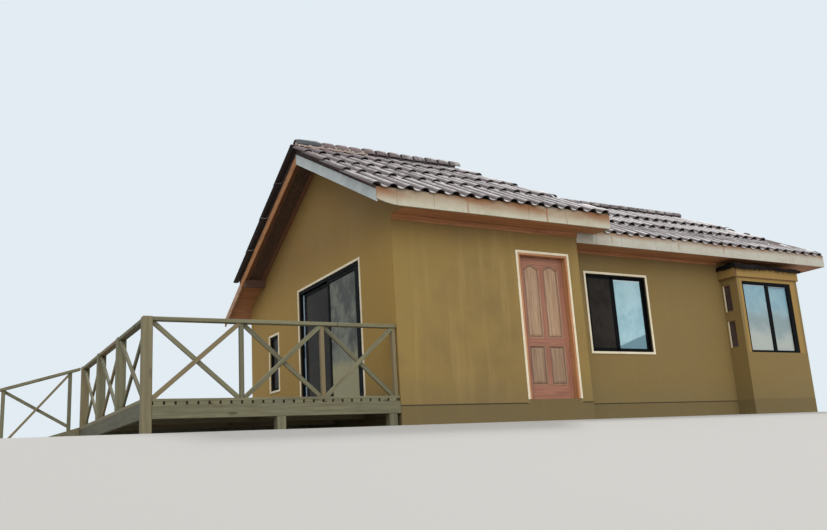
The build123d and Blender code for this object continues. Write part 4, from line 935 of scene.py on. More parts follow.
def makeMouldings():
    wall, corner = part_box("front_wall_left")[0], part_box("front_wall_right")[1]
    soffit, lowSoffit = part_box("tall_soffit")[0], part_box("low_soffit")[0]
    lowWall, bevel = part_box("low_front_wall")[0], moulding["bevel"]
    made = []
    for a, b in ((wall.x - .12, moulding["joint"]), (moulding["joint"] + .003, corner.x + moulding["proud"])):
        made.append(board((a, wall.y - moulding["proud"], soffit.z - moulding["drop"]),
                          (b, wall.y + .001, soffit.z - moulding["head"] + .002), bevel, 0))
        made.append(board((a, wall.y - moulding["headProud"], soffit.z - moulding["head"]),
                          (b, wall.y + .001, soffit.z + .001), bevel, 0))
    made.append(board((corner.x, lowWall.y - moulding["proud"], lowSoffit.z - moulding["lowDrop"]),
                      (moulding["lowEnd"], lowWall.y + .001, lowSoffit.z + .001), .006, 0))
    return joinAll("eave_mouldings", made)


finishPiece(makeMouldings(), "house", "soffit_wood", "soffit")
print("eaves done")

# Front door: framed leaf with raised panels under arched heads

door = {"stile": .1, "mullion": .082, "bottomRail": .2, "lockRail": .12, "topRail": .115, "lowerPanel": .54,
        "archRise": .062, "shoulder": .024, "steps": 26, "lowerTone": -3.2, "headTone": .3, "bevel": .0015,
        "rings": [(0, .001), (.011, .012), (.02, .0125), (.05, .003)]}  # inset and depth, rim to field


def archOutline(x, z, rise, inset=0.0):
    left, right, low, top = x[0] + inset, x[1] - inset, z[0] + inset, z[1] - inset
    points = [(left, low), (right, low)]
    if not rise:
        return points + [(right, top), (left, top)]
    half = (right - left) / 2 - door["shoulder"]
    rise = rise * (half / (half + inset)) ** 1.4
    radius = (half * half + rise * rise) / (2 * rise)
    reach = math.asin(half / radius)
    middle, centre = (left + right) / 2, top - radius
    points.append((right, top - rise))
    for i in range(door["steps"] + 1):
        angle = reach - 2 * reach * i / door["steps"]
        points.append((middle + radius * math.sin(angle), centre + radius * math.cos(angle)))
    return points + [(left, top - rise)]


def raisedPanel(x, z, rise, y, tone=0.0):  # both faces drawn in ring by ring: bead, groove, slope and field
    rings = door["rings"]
    rim = archOutline(x, z, rise, rings[0][0])
    piece = sheet(rim, "XZ", y[0] + rings[0][1])
    thick = y[1] - y[0] - 2 * rings[0][1]
    editWhole(piece, lambda: bpy.ops.mesh.select_mode(type="FACE"), lambda: drawOut((0, thick, 0)))
    data = piece.data
    for face, sign in ((y[0], 1), (y[1], -1)):
        before, level = rim, face + sign * rings[0][1]
        for inset, deep in rings[1:]:
            for part in data.polygons:
                part.select = all(abs(data.vertices[i].co.y - level) < 1e-5 for i in part.vertices)
            bpy.ops.object.mode_set(mode="EDIT")
            bpy.ops.mesh.inset(thickness=.0002, use_boundary=True)
            bpy.ops.object.mode_set(mode="OBJECT")
            field = [part for part in data.polygons if part.select and len(part.vertices) == len(rim)][0]
            after = archOutline(x, z, rise, inset)
            for i in field.vertices:  # each corner moves to its own place on the next ring
                v = data.vertices[i]
                nearest = min(range(len(before)), key=lambda k: math.dist(before[k], (v.co.x, v.co.z)))
                v.co = (after[nearest][0], face + sign * deep, after[nearest][1])
            before, level = after, face + sign * deep
    editWhole(piece, faceOutwards)
    grooveShade = data.attributes.new("grooveShade", "FLOAT", "POINT")  # the groove round the field, which gets painted shade
    grooveShade.data.foreach_set("value", [1.0 if min(v.co.y - y[0], y[1] - v.co.y) > .008 else 0.0
                                      for v in data.vertices])
    return stamp(piece, 2, tone + dice.uniform(-.6, .6))


def makeDoor():
    low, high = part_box("front_door")
    left, right = low.x + door["stile"], high.x - door["stile"]
    middle, half = (low.x + high.x) / 2, door["mullion"] / 2
    lowerZ = (low.z + door["bottomRail"], low.z + door["bottomRail"] + door["lowerPanel"])
    upperZ = (lowerZ[1] + door["lockRail"], high.z - door["topRail"])
    spring = upperZ[1] - door["archRise"]  # where the arches start
    members = [(low.x, left, low.z, high.z, 2), (right, high.x, low.z, high.z, 2),
               (left, right, low.z, lowerZ[0], 0), (left, right, lowerZ[1], upperZ[0], 0),
               (middle - half, middle + half, lowerZ[0], lowerZ[1], 2),
               (middle - half, middle + half, upperZ[0], spring, 2)]
    framing = [board((a, low.y, bottom), (b, high.y, top), door["bevel"], along, dice.uniform(-.5, .5))
               for a, b, bottom, top, along in members]
    spans = [(left, middle - half), (middle + half, right)]
    outline = [(right, high.z), (left, high.z)]  # top rail, cut to the two arches
    for x in spans:
        arch = archOutline(x, upperZ, door["archRise"])[2:]
        outline += [(x[0], spring)] + arch[::-1] + [(x[1], spring)]
    framing.append(plate(outline, "XZ", low.y, high.y, 0, 0, door["headTone"]))
    panels = []
    for x in spans:
        panels.append(raisedPanel(x, lowerZ, 0, (low.y, high.y), door["lowerTone"]))
        panels.append(raisedPanel(x, upperZ, door["archRise"], (low.y, high.y)))
    return joinAll("front_door_framing", framing), joinAll("front_door_panels", panels)


doorFraming, doorPanels = makeDoor()
finishPiece(doorFraming, "door_leaf", "door_brown", "doorFrame", "front_door")
finishPiece(doorPanels, "door_leaf", "door_brown", "doorPanel")

doorway = {"trim": .035, "trimProud": .012, "trimBevel": .002, "jamb": .03, "jambBack": .004,
           "jambBevel": .0015}


def uprightsAndHead(low, high, wide, bevel):
    left, right = low[0] + wide, high[0] - wide
    return [board(low, (left, high[1], high[2]), bevel, 2), board((right, low[1], low[2]), high, bevel, 2),
            board((left, low[1], high[2] - wide), (right, high[1], high[2]), bevel, 0)]


def makeDoorway():
    low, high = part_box("front_door_frame")
    trim = doorway["trim"]
    trims = uprightsAndHead((low.x, low.y, low.z), (high.x, low.y + doorway["trimProud"], high.z), trim,
                            doorway["trimBevel"])
    jambs = uprightsAndHead((low.x + trim, low.y + doorway["jambBack"], low.z),
                            (high.x - trim, high.y, high.z - trim), doorway["jamb"], doorway["jambBevel"])
    return joinAll("front_door_trim", trims), joinAll("front_door_jambs", jambs)


doorTrim, doorJambs = makeDoorway()
finishPiece(doorTrim, "house", "cream_trim", "trim", "front_door_frame")
finishPiece(doorJambs, "house", "jamb_wood", "jamb")

hinge = {"radius": .008, "tall": .1, "fromEnd": .2, "knuckles": 3, "leafThick": .004, "bevel": .0008}


def makeHinges():
    low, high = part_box("front_door_hinges")
    leafLow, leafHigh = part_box("front_door")
    radius, tall, each = hinge["radius"], hinge["tall"], hinge["tall"] / hinge["knuckles"]
    x, y = low.x + radius, high.y - radius
    heights = (leafLow.z + hinge["fromEnd"], (leafLow.z + leafHigh.z - tall) / 2,
               leafHigh.z - hinge["fromEnd"] - tall)
    made = []
    for z in heights:
        for i in range(hinge["knuckles"]):
            bpy.ops.mesh.primitive_cylinder_add(vertices=20, radius=radius, depth=each - .001,
                                                location=(x, y, z + each * (i + .5)))
            knuckle = bpy.context.object
            applyPlace(knuckle)
            softenEdges(knuckle, hinge["bevel"])
            made.append(stamp(knuckle, 2))
        made.append(board((x, leafHigh.y + .0003, z), (high.x, leafHigh.y + hinge["leafThick"], z + tall),
                          hinge["bevel"], 2))
    return joinAll("front_door_hinge_set", made)


finishPiece(makeHinges(), "house", "hinge_steel", "steel", "front_door_hinges")
print("door hung")


# Windows: trims from lengths of board, sashes and panes

def boardRing(low, high, width, flat, bevel=.002):  # flat: the axis the ring faces
    a, b = [i for i in range(3) if i != flat]
    made = []
    for side in (0, 1):
        one, two = list(low), list(high)
        one[a], two[a] = (low[a], low[a] + width) if side == 0 else (high[a] - width, high[a])
        made.append(board(one, two, bevel, b))
        one, two = list(low), list(high)
        one[a], two[a] = low[a] + width, high[a] - width
        one[b], two[b] = (low[b], low[b] + width) if side == 0 else (high[b] - width, high[b])
        made.append(board(one, two, bevel, a))
    return made


def bars(spans, low, plane, bevel=.0015):  # bars of a sash from the front; plane: their depths behind low
    return [board((x[0], low.y + plane[0], z[0]), (x[1], low.y + plane[1], z[1]), bevel) for x, z in spans]


def pane(x, y, z):
    return board((x[0], y[0], z[0]), (x[1], y[1], z[1]), 0, 2)


casing = {"wide": .035}
for name, flat in (("patio_door_trim", 0), ("small_window_trim", 0), ("window_trim", 1)):
    low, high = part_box(name)
    ring = joinAll(name + "_boards", boardRing(low, high, casing["wide"], flat))
    finishPiece(ring, "house", "cream_trim", "trim", name)

window = {"edge": .03, "sash": .03, "meetFrom": -.115, "meetTo": -.04, "rightStile": .045, "bead": .009,
          "frontPlane": (.006, .028), "rearPlane": (.032, .054), "leftPane": (.014, .018),
          "rightPane": (.041, .045), "beadPlane": (.036, .041), "rebate": .028}


def makeWindowSashes():
    low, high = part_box("window_frame")
    middle = (low.x + high.x) / 2
    edge, sash, bead = window["edge"], window["sash"], window["bead"]
    left, meet, right = low.x + edge, middle + window["meetTo"], high.x - edge - window["rightStile"]
    z = (low.z + edge, high.z - edge)
    foot, head = (z[0], z[0] + sash), (z[1] - sash, z[1])
    made = boardRing(low, high, edge, 1)
    made += bars([((left, left + sash), z), ((middle + window["meetFrom"], meet), z),
                  ((left + sash, meet - .02), foot), ((left + sash, meet - .02), head)],
                 low, window["frontPlane"])
    made += bars([((right, high.x - edge), z), ((meet - .01, right), foot), ((meet - .01, right), head),
                  ((middle - .05, meet - .001), z)], low, window["rearPlane"])
    seen = (z[0] + window["rebate"], z[1] - window["rebate"])
    leftPane = pane((left + sash - .002, meet - .06), [low.y + d for d in window["leftPane"]], seen)
    rightPane = pane((meet - .012, right + .002), [low.y + d for d in window["rightPane"]], seen)
    start = meet + .001
    beads = bars([((start, start + bead), (foot[1], head[0])),
                  ((start + bead, right), (head[0] - bead, head[0]))], low, window["beadPlane"], .001)
    leftPane.name, rightPane.name = "window_pane_left", "window_pane_right"
    return joinAll("window_sashes", made), leftPane, rightPane, joinAll("window_glare_beads", beads)


sashes, leftPane, rightPane, paneBeads = makeWindowSashes()
finishPiece(sashes, "house", "black_frame", "blackFrame", "window_frame")
finishPiece(leftPane, "house", "glass", "glassDark", "window_glass")
finishPiece(rightPane, "house", "glass", "glassSky")
# pale beads at the right pane's left edge and head: a painted glint on the glass
finishPiece(paneBeads, "house", "black_frame", "glare")

bay = {"left": .032, "right": .1, "top": .06, "bottom": .035, "meet": (-.05, .045), "meetBack": .004,
       "bead": .008, "beadThick": .005, "leftPane": (.013, .017), "rightPane": (.033, .037), "leftBead": .008,
       "rightBead": .026, "rebate": .004}


def makeBayWindow():
    low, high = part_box("bay_window_frame")
    middle, deep, bead = (low.x + high.x) / 2, high.y - low.y, bay["bead"]
    left, right = low.x + bay["left"], high.x - bay["right"]
    meet = (middle + bay["meet"][0], middle + bay["meet"][1])
    z = (low.z, high.z)
    glassZ = (low.z + bay["bottom"], high.z - bay["top"])
    made = bars([((low.x, left), z), ((right, high.x), z), ((left, right), (low.z, glassZ[0])),
                 ((left, right), (glassZ[1], high.z))], low, (0, deep), .002)
    made += bars([(meet, glassZ)], low, (bay["meetBack"], deep - bay["meetBack"]))
    seen = (glassZ[0] - bay["rebate"], glassZ[1] + bay["rebate"])
    panes = [pane((left - .002, middle), [low.y + d for d in bay["leftPane"]], seen),
             pane((middle, right + .002), [low.y + d for d in bay["rightPane"]], seen)]
    beads = []
    for a, b, back in ((left, meet[0], bay["leftBead"]), (meet[1], right, bay["rightBead"])):
        beads += bars([((a, a + bead), glassZ), ((a + bead, b), (glassZ[1] - bead, glassZ[1]))], low,
                      (back, back + bay["beadThick"]), .001)
    return joinAll("bay_sashes", made), joinAll("bay_panes", panes), joinAll("bay_glare_beads", beads)


baySashes, bayPanes, bayBeads = makeBayWindow()
finishPiece(baySashes, "house", "black_frame", "blackFrame", "bay_window_frame")
finishPiece(bayPanes, "house", "glass", "glassBay")
# pale beads at the panes' left edges and heads: a painted glint on the glass
finishPiece(bayBeads, "house", "black_frame", "glare")

felt = {"steps": 64, "thick": .008, "sideSteps": (14, 4),
        "rows": [(1, .012), (.55, .05), (.12, .082), (.0, .066), (-.03, .03), (-.045, -.004),
                 (-.05, -.034)]}  # depth from front to wall, and height over the header


def makeFelt():  # dark sheet crumpled on the header, its front edge hanging and torn
    low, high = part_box("bay_top_sheet")
    rows, deep = felt["rows"], high.y - low.y
    bpy.ops.mesh.primitive_grid_add(x_subdivisions=felt["steps"], y_subdivisions=len(rows) - 1, size=1,
                                    location=(0, 0, 0))
    front = bpy.context.object
    for v in front.data.vertices:
        t, row = v.co.x + .5, rows[round((.5 - v.co.y) * (len(rows) - 1))]
        swell = .86 - .4 * t + .12 * math.sin(t * 23) + .06 * math.sin(t * 61)
        v.co = (low.x + (high.x - low.x) * t, low.y + deep * row[0] + dice.uniform(-.003, .003),
                low.z + .004 + row[1] * swell + dice.uniform(-.004, .004))
        if row is rows[-1]:
            v.co.z += dice.uniform(-.02, .014) - .01 * math.sin(t * 9)
    across, up = felt["sideSteps"]
    bpy.ops.mesh.primitive_grid_add(x_subdivisions=across, y_subdivisions=up, size=1, location=(0, 0, 0))
    side = bpy.context.object  # the piece that hangs at the left end
    for v in side.data.vertices:
        t, up = v.co.x + .5, v.co.y + .5
        v.co = (low.x - .004 + .012 * up, low.y + deep * t - .012 * (1 - t),
                low.z - .014 + .085 * up * (1 - .15 * t))
        if up < .1:
            v.co.z += dice.uniform(-.012, .012)
    for part in (front, side):
        giveWall(part, felt["thick"], 0)
        stamp(part, 0)
    piece = joinAll("bay_felt", [front, side])
    smooth(piece, 50)
    return piece


finishPiece(makeFelt(), "house", "dark_sheet", "felt", "bay_top_sheet")

headerJoint = {"proud": .003, "from": .003, "to": .036, "edge": .012}


def makeHeaderJoints():  # the open joint at the header's corner and the edge of the board under it
    low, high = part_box("bay_header")
    made = [board((low.x + headerJoint["from"], low.y - headerJoint["proud"], low.z + .004),
                  (low.x + headerJoint["to"], low.y + .002, high.z - .004), .001, 2),
            board((low.x - .002, low.y + .01, low.z - .001),
                  (low.x + .002, high.y - .002, low.z + headerJoint["edge"]), .001, 1),
            board((low.x + .022, low.y - .002, low.z - .001), (high.x - .004, low.y + .002, low.z + .01),
                  .001, 0)]
    return joinAll("bay_header_joints", made)


finishPiece(makeHeaderJoints(), "house", "raw_timber", "jointBrown")

light = {"high": .453, "frame": .018, "deep": .04, "strip": .03, "stripThick": .003, "pane": (.018, .022),
         "rebate": .016}


def makeSideLights():  # two over each other in each of the bay's sides
    low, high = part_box("bay_side_frames")
    frames, panes, strips = [], [], []
    for x, out in ((low.x, -1), (high.x - light["deep"], 1)):
        for a, b in ((low.z, low.z + light["high"]), (high.z - light["high"], high.z)):
            frames += boardRing((x, low.y, a), (x + light["deep"], high.y, b), light["frame"], 0, .0015)
            inset = light["rebate"]
            panes.append(pane([x + d for d in light["pane"]], (low.y + inset, high.y - inset),
                              (a + inset, b - inset)))
            face = x if out < 0 else x + light["deep"]
            edges = sorted((face, face + out * light["stripThick"]))
            strips.append(board((edges[0], high.y - light["strip"], a + .004),
                                (edges[1], high.y - .002, b - .004), .001, 2))
    return [joinAll("bay_light_" + kind, pieces)
            for kind, pieces in (("frames", frames), ("panes", panes), ("strips", strips))]


lightFrames, lightPanes, lightStrips = makeSideLights()
finishPiece(lightFrames, "house", "cream_trim", "lightBrown", "bay_side_frames")
finishPiece(lightPanes, "house", "glass", "glassPurple")
finishPiece(lightStrips, "house", "cream_trim", "trim")

smallWindow = {"frame": .03, "sash": .022, "sashPlane": (.012, .04), "sashInset": .028, "pane": (.024, .028),
               "paneInset": .045}


def makeSmallWindow():
    low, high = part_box("small_window_frame")
    made = boardRing(low, high, smallWindow["frame"], 0)
    inset = smallWindow["sashInset"]
    front, back = [low.x + d for d in smallWindow["sashPlane"]]
    made += boardRing((front, low.y + inset, low.z + inset), (back, high.y - inset, high.z - inset),
                      smallWindow["sash"], 0)
    inset = smallWindow["paneInset"]
    smallPane = pane([low.x + d for d in smallWindow["pane"]], (low.y + inset, high.y - inset),
                     (low.z + inset, high.z - inset))
    smallPane.name = "small_window_pane"
    return joinAll("small_window_sash", made), smallPane


smallSash, smallPane = makeSmallWindow()
finishPiece(smallSash, "house", "black_frame", "blackFrame", "small_window_frame")
finishPiece(smallPane, "house", "glass", "glassDark")

patio = {"frame": .05, "beadInset": .046, "bead": .012, "beadHalf": .008, "frontStileAndShade": .15, "strip": .05,
         "pull": (.035, .015), "pullHeight": (.85, 1.05)}


def leafRings(low, high):  # the leaf's frame and the beads round its glass
    middle, inset, half = (low.x + high.x) / 2, patio["beadInset"], patio["beadHalf"]
    return boardRing(low, high, patio["frame"], 0) + boardRing(
        (middle - half, low.y + inset, low.z + inset), (middle + half, high.y - inset, high.z - inset),
        patio["bead"], 0, .001)


def makePatioDoor():
    low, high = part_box("patio_fixed_panel")
    fixed = leafRings(low, high)
    # the front stile is widened in black to take in the shade beside it: partly stile, partly painted shade
    fixed.append(board((low.x - .001, low.y, low.z + .004),
                       (low.x + .02, low.y + patio["frontStileAndShade"], high.z - .004), .002, 2))
    middle, frameWide = (low.x + high.x) / 2, patio["frame"]
    fixedPane = pane((middle - .003, middle + .003), (low.y + frameWide, high.y - frameWide),
                     (low.z + frameWide, high.z - frameWide))
    low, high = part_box("patio_sliding_panel")
    sliding = leafRings(low, high)
    sliding.append(board((low.x - .004, high.y - patio["pull"][0], low.z + patio["pullHeight"][0]),
                         (low.x + .001, high.y - patio["pull"][1], low.z + patio["pullHeight"][1]), .0015, 2))
    strip = board((low.x - .0015, high.y - patio["strip"], low.z + .01),
                  (low.x + .0005, high.y - .006, high.z - .01), 0, 2)
    fixedPane.name, strip.name = "patio_fixed_pane", "patio_sliding_strip"
    return joinAll("patio_fixed_sash", fixed), fixedPane, joinAll("patio_sliding_sash", sliding), strip


fixedSash, fixedPane, slidingSash, slidingStrip = makePatioDoor()
finishPiece(fixedSash, "house", "black_frame", "blackFrame", "patio_fixed_panel")
finishPiece(fixedPane, "house", "glass", "glassPatio")
finishPiece(slidingSash, "sliding_door", "black_frame", "blackFrame", "patio_sliding_panel")
finishPiece(slidingStrip, "sliding_door", "black_frame", "paleMetal")
print("windows glazed")

# Deck: boards that run back from the front rim, on beams and feet

deck = {"boardPitch": .124, "gap": .025, "nosing": .045, "nosingDeep": .03, "combDeep": .037,
        "boardBevel": .004, "plainTone": -.1, "beam": .05, "beams": 5, "leftTone": -1.9, "frontTone": -.2,
        "foot": .11}
rail = {"high": .898, "deep": .045, "wide": .09, "thin": .05, "brace": .052, "braceThick": .03, "side": .11,
        "corner": .11, "cornerTone": .45, "bays": 3, "lap": .2, "postBevel": .004, "railBevel": .006}


def makeDeckBoards():
    low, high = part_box("deck_floor")
    post, nosing, under = rail["corner"], low.y + deck["nosing"], high.z - deck["nosingDeep"]
    made, x = [], low.x
    while x < high.x - .03:
        right = min(x + deck["boardPitch"] - deck["gap"], high.x)
        start = low.y + post + .002 if x < low.x + post else nosing + .002
        rise = dice.uniform(-.0015, .0015)
        made.append(board((x, start, low.z), (right, high.y + dice.uniform(-.006, .004), high.z + rise),
                          deck["boardBevel"], 1))
        if x > low.x + post:  # the ends that show under the nosing, with a dark gap between each two
            made.append(board((x, low.y + .001, under - deck["combDeep"]), (right, nosing, under), .001, 0,
                              deck["plainTone"]))
        x += deck["boardPitch"]
    made.append(board((low.x + post, low.y - .001, under), (high.x, nosing, high.z), .003, 0,
                      deck["plainTone"]))
    return joinAll("deck_boards", made)


def makeDeckFrame():
    low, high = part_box("deck_frame")
    wide, post = deck["beam"], rail["corner"]
    middle = (low.x + high.x) / 2
    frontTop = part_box("deck_floor")[1].z - deck["nosingDeep"] - deck["combDeep"]
    made = [board((low.x + post, low.y - .002, low.z), (high.x - .004, low.y + wide, frontTop), .004, 0,
                  deck["frontTone"]),
            board((low.x + wide, high.y - wide, low.z), (high.x - .004, high.y, high.z), .004, 0),
            board((low.x, low.y + post, low.z), (low.x + wide, high.y, high.z), .004, 1, deck["leftTone"]),
            board((high.x - wide, low.y + wide, low.z), (high.x - .002, high.y - wide, high.z), .003, 1)]
    for k in range(1, deck["beams"] + 1):
        y = low.y + (high.y - low.y) * k / (deck["beams"] + 1)
        made.append(board((low.x + wide, y - wide / 2, low.z), (high.x - wide, y + wide / 2, high.z - .001),
                          .003, 0))
    made.append(board((middle - wide / 2, low.y + wide, low.z - .001),
                      (middle + wide / 2, high.y - wide, high.z - .002), .003, 1))
    return joinAll("deck_beams", made)


def makeDeckFeet():  # all but the one that the railing's corner post makes
    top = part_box("deck_feet")[1].z
    low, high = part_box("deck_frame")
    wide, corner = deck["foot"], (low.x + rail["corner"] / 2, low.y + rail["corner"] / 2)
    made = []
    for x in (corner[0], (low.x + high.x) / 2, high.x - wide):
        for y in (corner[1], (low.y + high.y) / 2, high.y - wide / 2):
            if (x, y) != corner:
                made.append(board((x - wide / 2, y - wide / 2, 0), (x + wide / 2, y + wide / 2, top),
                                  .006, 2))
    return joinAll("deck_posts_below", made)


finishPiece(makeDeckBoards(), "house", "deck_pine", "deck", "deck_floor")
finishPiece(makeDeckFrame(), "house", "deck_pine", "deck", "deck_frame")
finishPiece(makeDeckFeet(), "house", "deck_pine", "deck", "deck_feet")

# Railings: posts, handrails and crossed braces, one let over the other

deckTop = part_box("deck_floor")[1].z


def brace(a, b, plane, across, z, lean, depth):  # a board from corner to corner of a bay, cut flush
    flat = 0 if plane == "XZ" else 1
    length = math.hypot(b - a, z[1] - z[0]) + .16
    centre = [0, 0, (z[0] + z[1]) / 2]
    centre[flat], centre[1 - flat] = (a + b) / 2, across
    low, high = [0, 0, centre[2] - rail["brace"] / 2], [0, 0, centre[2] + rail["brace"] / 2]
    low[flat], high[flat] = centre[flat] - length / 2, centre[flat] + length / 2
    low[1 - flat], high[1 - flat] = across + depth[0], across + depth[1]
    piece = board(low, high, .003, flat)
    angle = math.atan2(z[1] - z[0], b - a) * lean
    turn = Matrix.Rotation(-angle, 4, "Y") if plane == "XZ" else Matrix.Rotation(angle, 4, "X")
    piece.data.transform(Matrix.Translation(centre) @ turn @ Matrix.Translation([-c for c in centre]))
    for value, sign in ((a, -1), (b, 1)):
        point, normal = [0, 0, 0], [0, 0, 0]
        point[flat], normal[flat] = value, sign
        cutAway(piece, point, normal)
    cutAway(piece, (0, 0, z[0]), (0, 0, -1))
    cutAway(piece, (0, 0, z[1]), (0, 0, 1))
    return piece


def crossedBraces(a, b, plane, across, top):
    z, thick = (deckTop, top - rail["deep"]), rail["braceThick"]
    return [brace(a, b, plane, across, z, 1, (-thick, -.001)),
            brace(a, b, plane, across, z, -1, (.001, thick))]


def makeFrontRailing():
    low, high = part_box("front_railing")
    top, under, thin = high.z, high.z - rail["deep"], rail["thin"]
    middle, start = low.y + rail["wide"] / 2, low.x + rail["corner"]
    span = (high.x - start) / rail["bays"]
    posts = [start + span * i - (thin / 2 if i < rail["bays"] else thin) for i in range(1, rail["bays"] + 1)]
    made = [board((low.x, low.y, 0), (start, low.y + rail["corner"], top + .004), .006, 2,
                  rail["cornerTone"])]
    for x in posts:
        made.append(board((x, middle - thin / 2, deckTop), (x + thin, middle + thin / 2, under),
                          rail["postBevel"], 2))
    joint = start + 2 * span + rail["lap"]
    for a, b in ((start, joint), (joint + .003, high.x)):
        made.append(board((a, low.y, under), (b, low.y + rail["wide"], top), rail["railBevel"], 0))
    for a, b in zip([start] + [x + thin for x in posts], posts):
        made += crossedBraces(a, b, "XZ", middle, top)
    return joinAll("front_railing_timber", made)


def makeSideRailing():
    low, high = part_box("side_railing")
    top, wide, middle = high.z, rail["side"], (low.x + high.x) / 2
    span = (high.y - wide / 2 - low.y) / rail["bays"]
    posts = [low.y + span * i - wide / 2 for i in range(1, rail["bays"] + 1)]
    made = []
    for y in posts:
        made.append(board((middle - wide / 2, y, deckTop), (middle + wide / 2, y + wide, top), .006, 2))
    for a, b in zip([low.y] + [y + wide for y in posts], posts):
        made.append(board((middle - rail["wide"] / 2, a, top - rail["deep"]),
                          (middle + rail["wide"] / 2, b, top - .001), rail["railBevel"], 1))
        made += crossedBraces(a, b, "YZ", middle, top)
    return joinAll("side_railing_timber", made)


ramp = {"boards": 12, "gap": .006, "stringer": .12, "thick": .045, "uneven": .004}


def makeRamp():  # cross boards on three stringers, down from the deck to the ground
    low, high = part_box("ramp")
    slope = (high.z - low.z) / (high.x - low.x)
    along = Vector((1, 0, slope)).normalized()
    step = math.hypot(high.x - low.x, high.z - low.z) / ramp["boards"]
    made = []
    for i in range(ramp["boards"]):
        a, b = low.x + along.x * step * i, low.x + along.x * (step * (i + 1) - ramp["gap"])
        outline = [(a, slope * (a - low.x)), (b, slope * (b - low.x))]
        outline.append((b, max(0, outline[1][1] - ramp["thick"])))
        if i > 0:  # the lowest board runs out to an edge on the ground
            outline.append((a, max(0, outline[0][1] - ramp["thick"])))
        ends = (low.y + dice.uniform(-ramp["uneven"], ramp["uneven"]),
                high.y + dice.uniform(-ramp["uneven"], ramp["uneven"]))
        made.append(plate(outline, "XZ", ends[0], ends[1], 0, 1))
    deep, top = ramp["thick"] + ramp["stringer"], slope * (high.x - low.x)
    outline = [(low.x + ramp["thick"] / slope, 0), (low.x + deep / slope, 0), (high.x - .001, top - deep),
               (high.x - .001, top - ramp["thick"])]
    for y in (low.y, (low.y + high.y - rail["thin"]) / 2, high.y - rail["thin"]):
        made.append(plate(outline, "XZ", y + .002, y + rail["thin"] - .002, 0, 0))
    return joinAll("ramp_timber", made)


rampRail = {"post": .05, "fromTop": .12, "between": .9, "braceEnd": .052, "braceThick": .029}


def makeRampRailing():  # two posts, a sloping handrail and crossed braces
    low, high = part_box("ramp_railing")
    rampLow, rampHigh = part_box("ramp")
    slope = (rampHigh.z - rampLow.z) / (rampHigh.x - rampLow.x)
    middle, post, wide = (low.y + high.y) / 2, rampRail["post"], rampRail["braceEnd"]
    under = rail["high"] - rail["deep"]

    def strip(corners, start, end, bevel, along):  # corners are given along the ramp and by height over it
        outline = [(x, slope * (x - rampLow.x) + above) for x, above in corners]
        return plate(outline, "XZ", middle + start, middle + end, bevel, along)

    upper = rampHigh.x - rampRail["fromTop"] - post
    lower = upper - rampRail["between"]
    made = [strip([(x, .001), (x + post, .001), (x + post, under), (x, under)], -post / 2, post / 2, .003, 2)
            for x in (upper, lower)]
    made.append(strip([(low.x, under), (high.x, under), (high.x, rail["high"]), (low.x, rail["high"])],
                      -rail["wide"] / 2, rail["wide"] / 2, .005, 0))
    a, b = lower + post, upper
    thick = rampRail["braceThick"]
    made.append(strip([(a, wide), (b, under - wide), (b, under), (a, 2 * wide)], -thick, -.001, .002, 0))
    made.append(strip([(a, under - wide), (b, wide), (b, 2 * wide), (a, under)], .001, thick, .002, 0))
    return joinAll("ramp_railing_timber", made)


finishPiece(makeRamp(), "house", "deck_pine", "deck", "ramp")
finishPiece(makeRampRailing(), "house", "deck_pine", "deck", "ramp_railing")
finishPiece(makeFrontRailing(), "house", "deck_pine", "deck", "front_railing")
finishPiece(makeSideRailing(), "house", "deck_pine", "deck", "side_railing")
print("deck built")

# Painted shade: a dark strip along the foot of the walls, over the plinth, for the shadow in the gap there

wallFoot = {"low": .290, "high": .303, "proud": .0025, "sunk": .001}


def makeFootShade():
    out, sunk = wallFoot["proud"], wallFoot["sunk"]
    left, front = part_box("gable_wall_front")[0].x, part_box("front_wall_left")[0].y
    corner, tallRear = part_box("front_wall_right")[1].x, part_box("tall_rear_wall")[1].y
    lowFront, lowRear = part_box("low_front_wall")[0].y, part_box("low_rear_wall")[1].y
    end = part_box("low_end_wall")[1].x
    doorLow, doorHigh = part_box("front_door_frame")
    bayLow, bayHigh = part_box("bay_sides")
    strips = [((left - out, doorLow.x), (front - out, front + sunk)),
              ((doorHigh.x, corner + out), (front - out, front + sunk)),
              ((corner - sunk, corner + out), (front, lowFront)),
              ((corner, bayLow.x), (lowFront - out, lowFront + sunk)),
              ((bayHigh.x, end + out), (lowFront - out, lowFront + sunk)),
              ((end - sunk, end + out), (lowFront, lowRear)),
              ((corner, end + out), (lowRear - sunk, lowRear + out)),
              ((corner - sunk, corner + out), (lowRear, tallRear)),
              ((left - out, corner + out), (tallRear - sunk, tallRear + out)),
              ((left - out, left + sunk), (front, tallRear))]
    return joinAll("wall_foot_shade", [board((x[0], y[0], wallFoot["low"]), (x[1], y[1], wallFoot["high"]), 0)
                                     for x, y in strips])


finishPiece(makeFootShade(), "house", "raw_timber", "gap")

# The frame's own pieces that keep their shape get their finish

finishes = {
    "wall": ["front_wall_left", "front_wall_over_door", "front_wall_right", "tall_side_walls",
             "tall_rear_wall"],
    "gableWallLit": ["gable_wall_front", "gable_wall_over_patio_door", "gable_wall_rear", "patio_sill"],
    "lowWall": ["low_front_wall", "low_end_wall", "low_rear_wall", "bay_base", "bay_sides"],
    "bayWall": ["bay_front", "bay_header"],
    "plinth": ["plinth", "front_door_sill"],
    "floor": ["floor"],
    "rafter": ["tall_roof_frame", "low_roof_frame", "purlin_end"],
    "soffit": ["rear_eave_strip", "tall_soffit", "low_soffit"],
    "pinkBoard": ["strip_barge_boards"],
    "fasciaTall": ["hip_fascia"],
    "blackFrame": ["patio_door_frame"],
    "glassDark": ["patio_sliding_glass"],
}
for look, names in finishes.items():
    for name in names:
        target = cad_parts[name]
        target.data.materials.clear()
        target.data.materials.append(looks[look])
print("finishes set")

# Camera, soft light and a pale floor that falls away in front

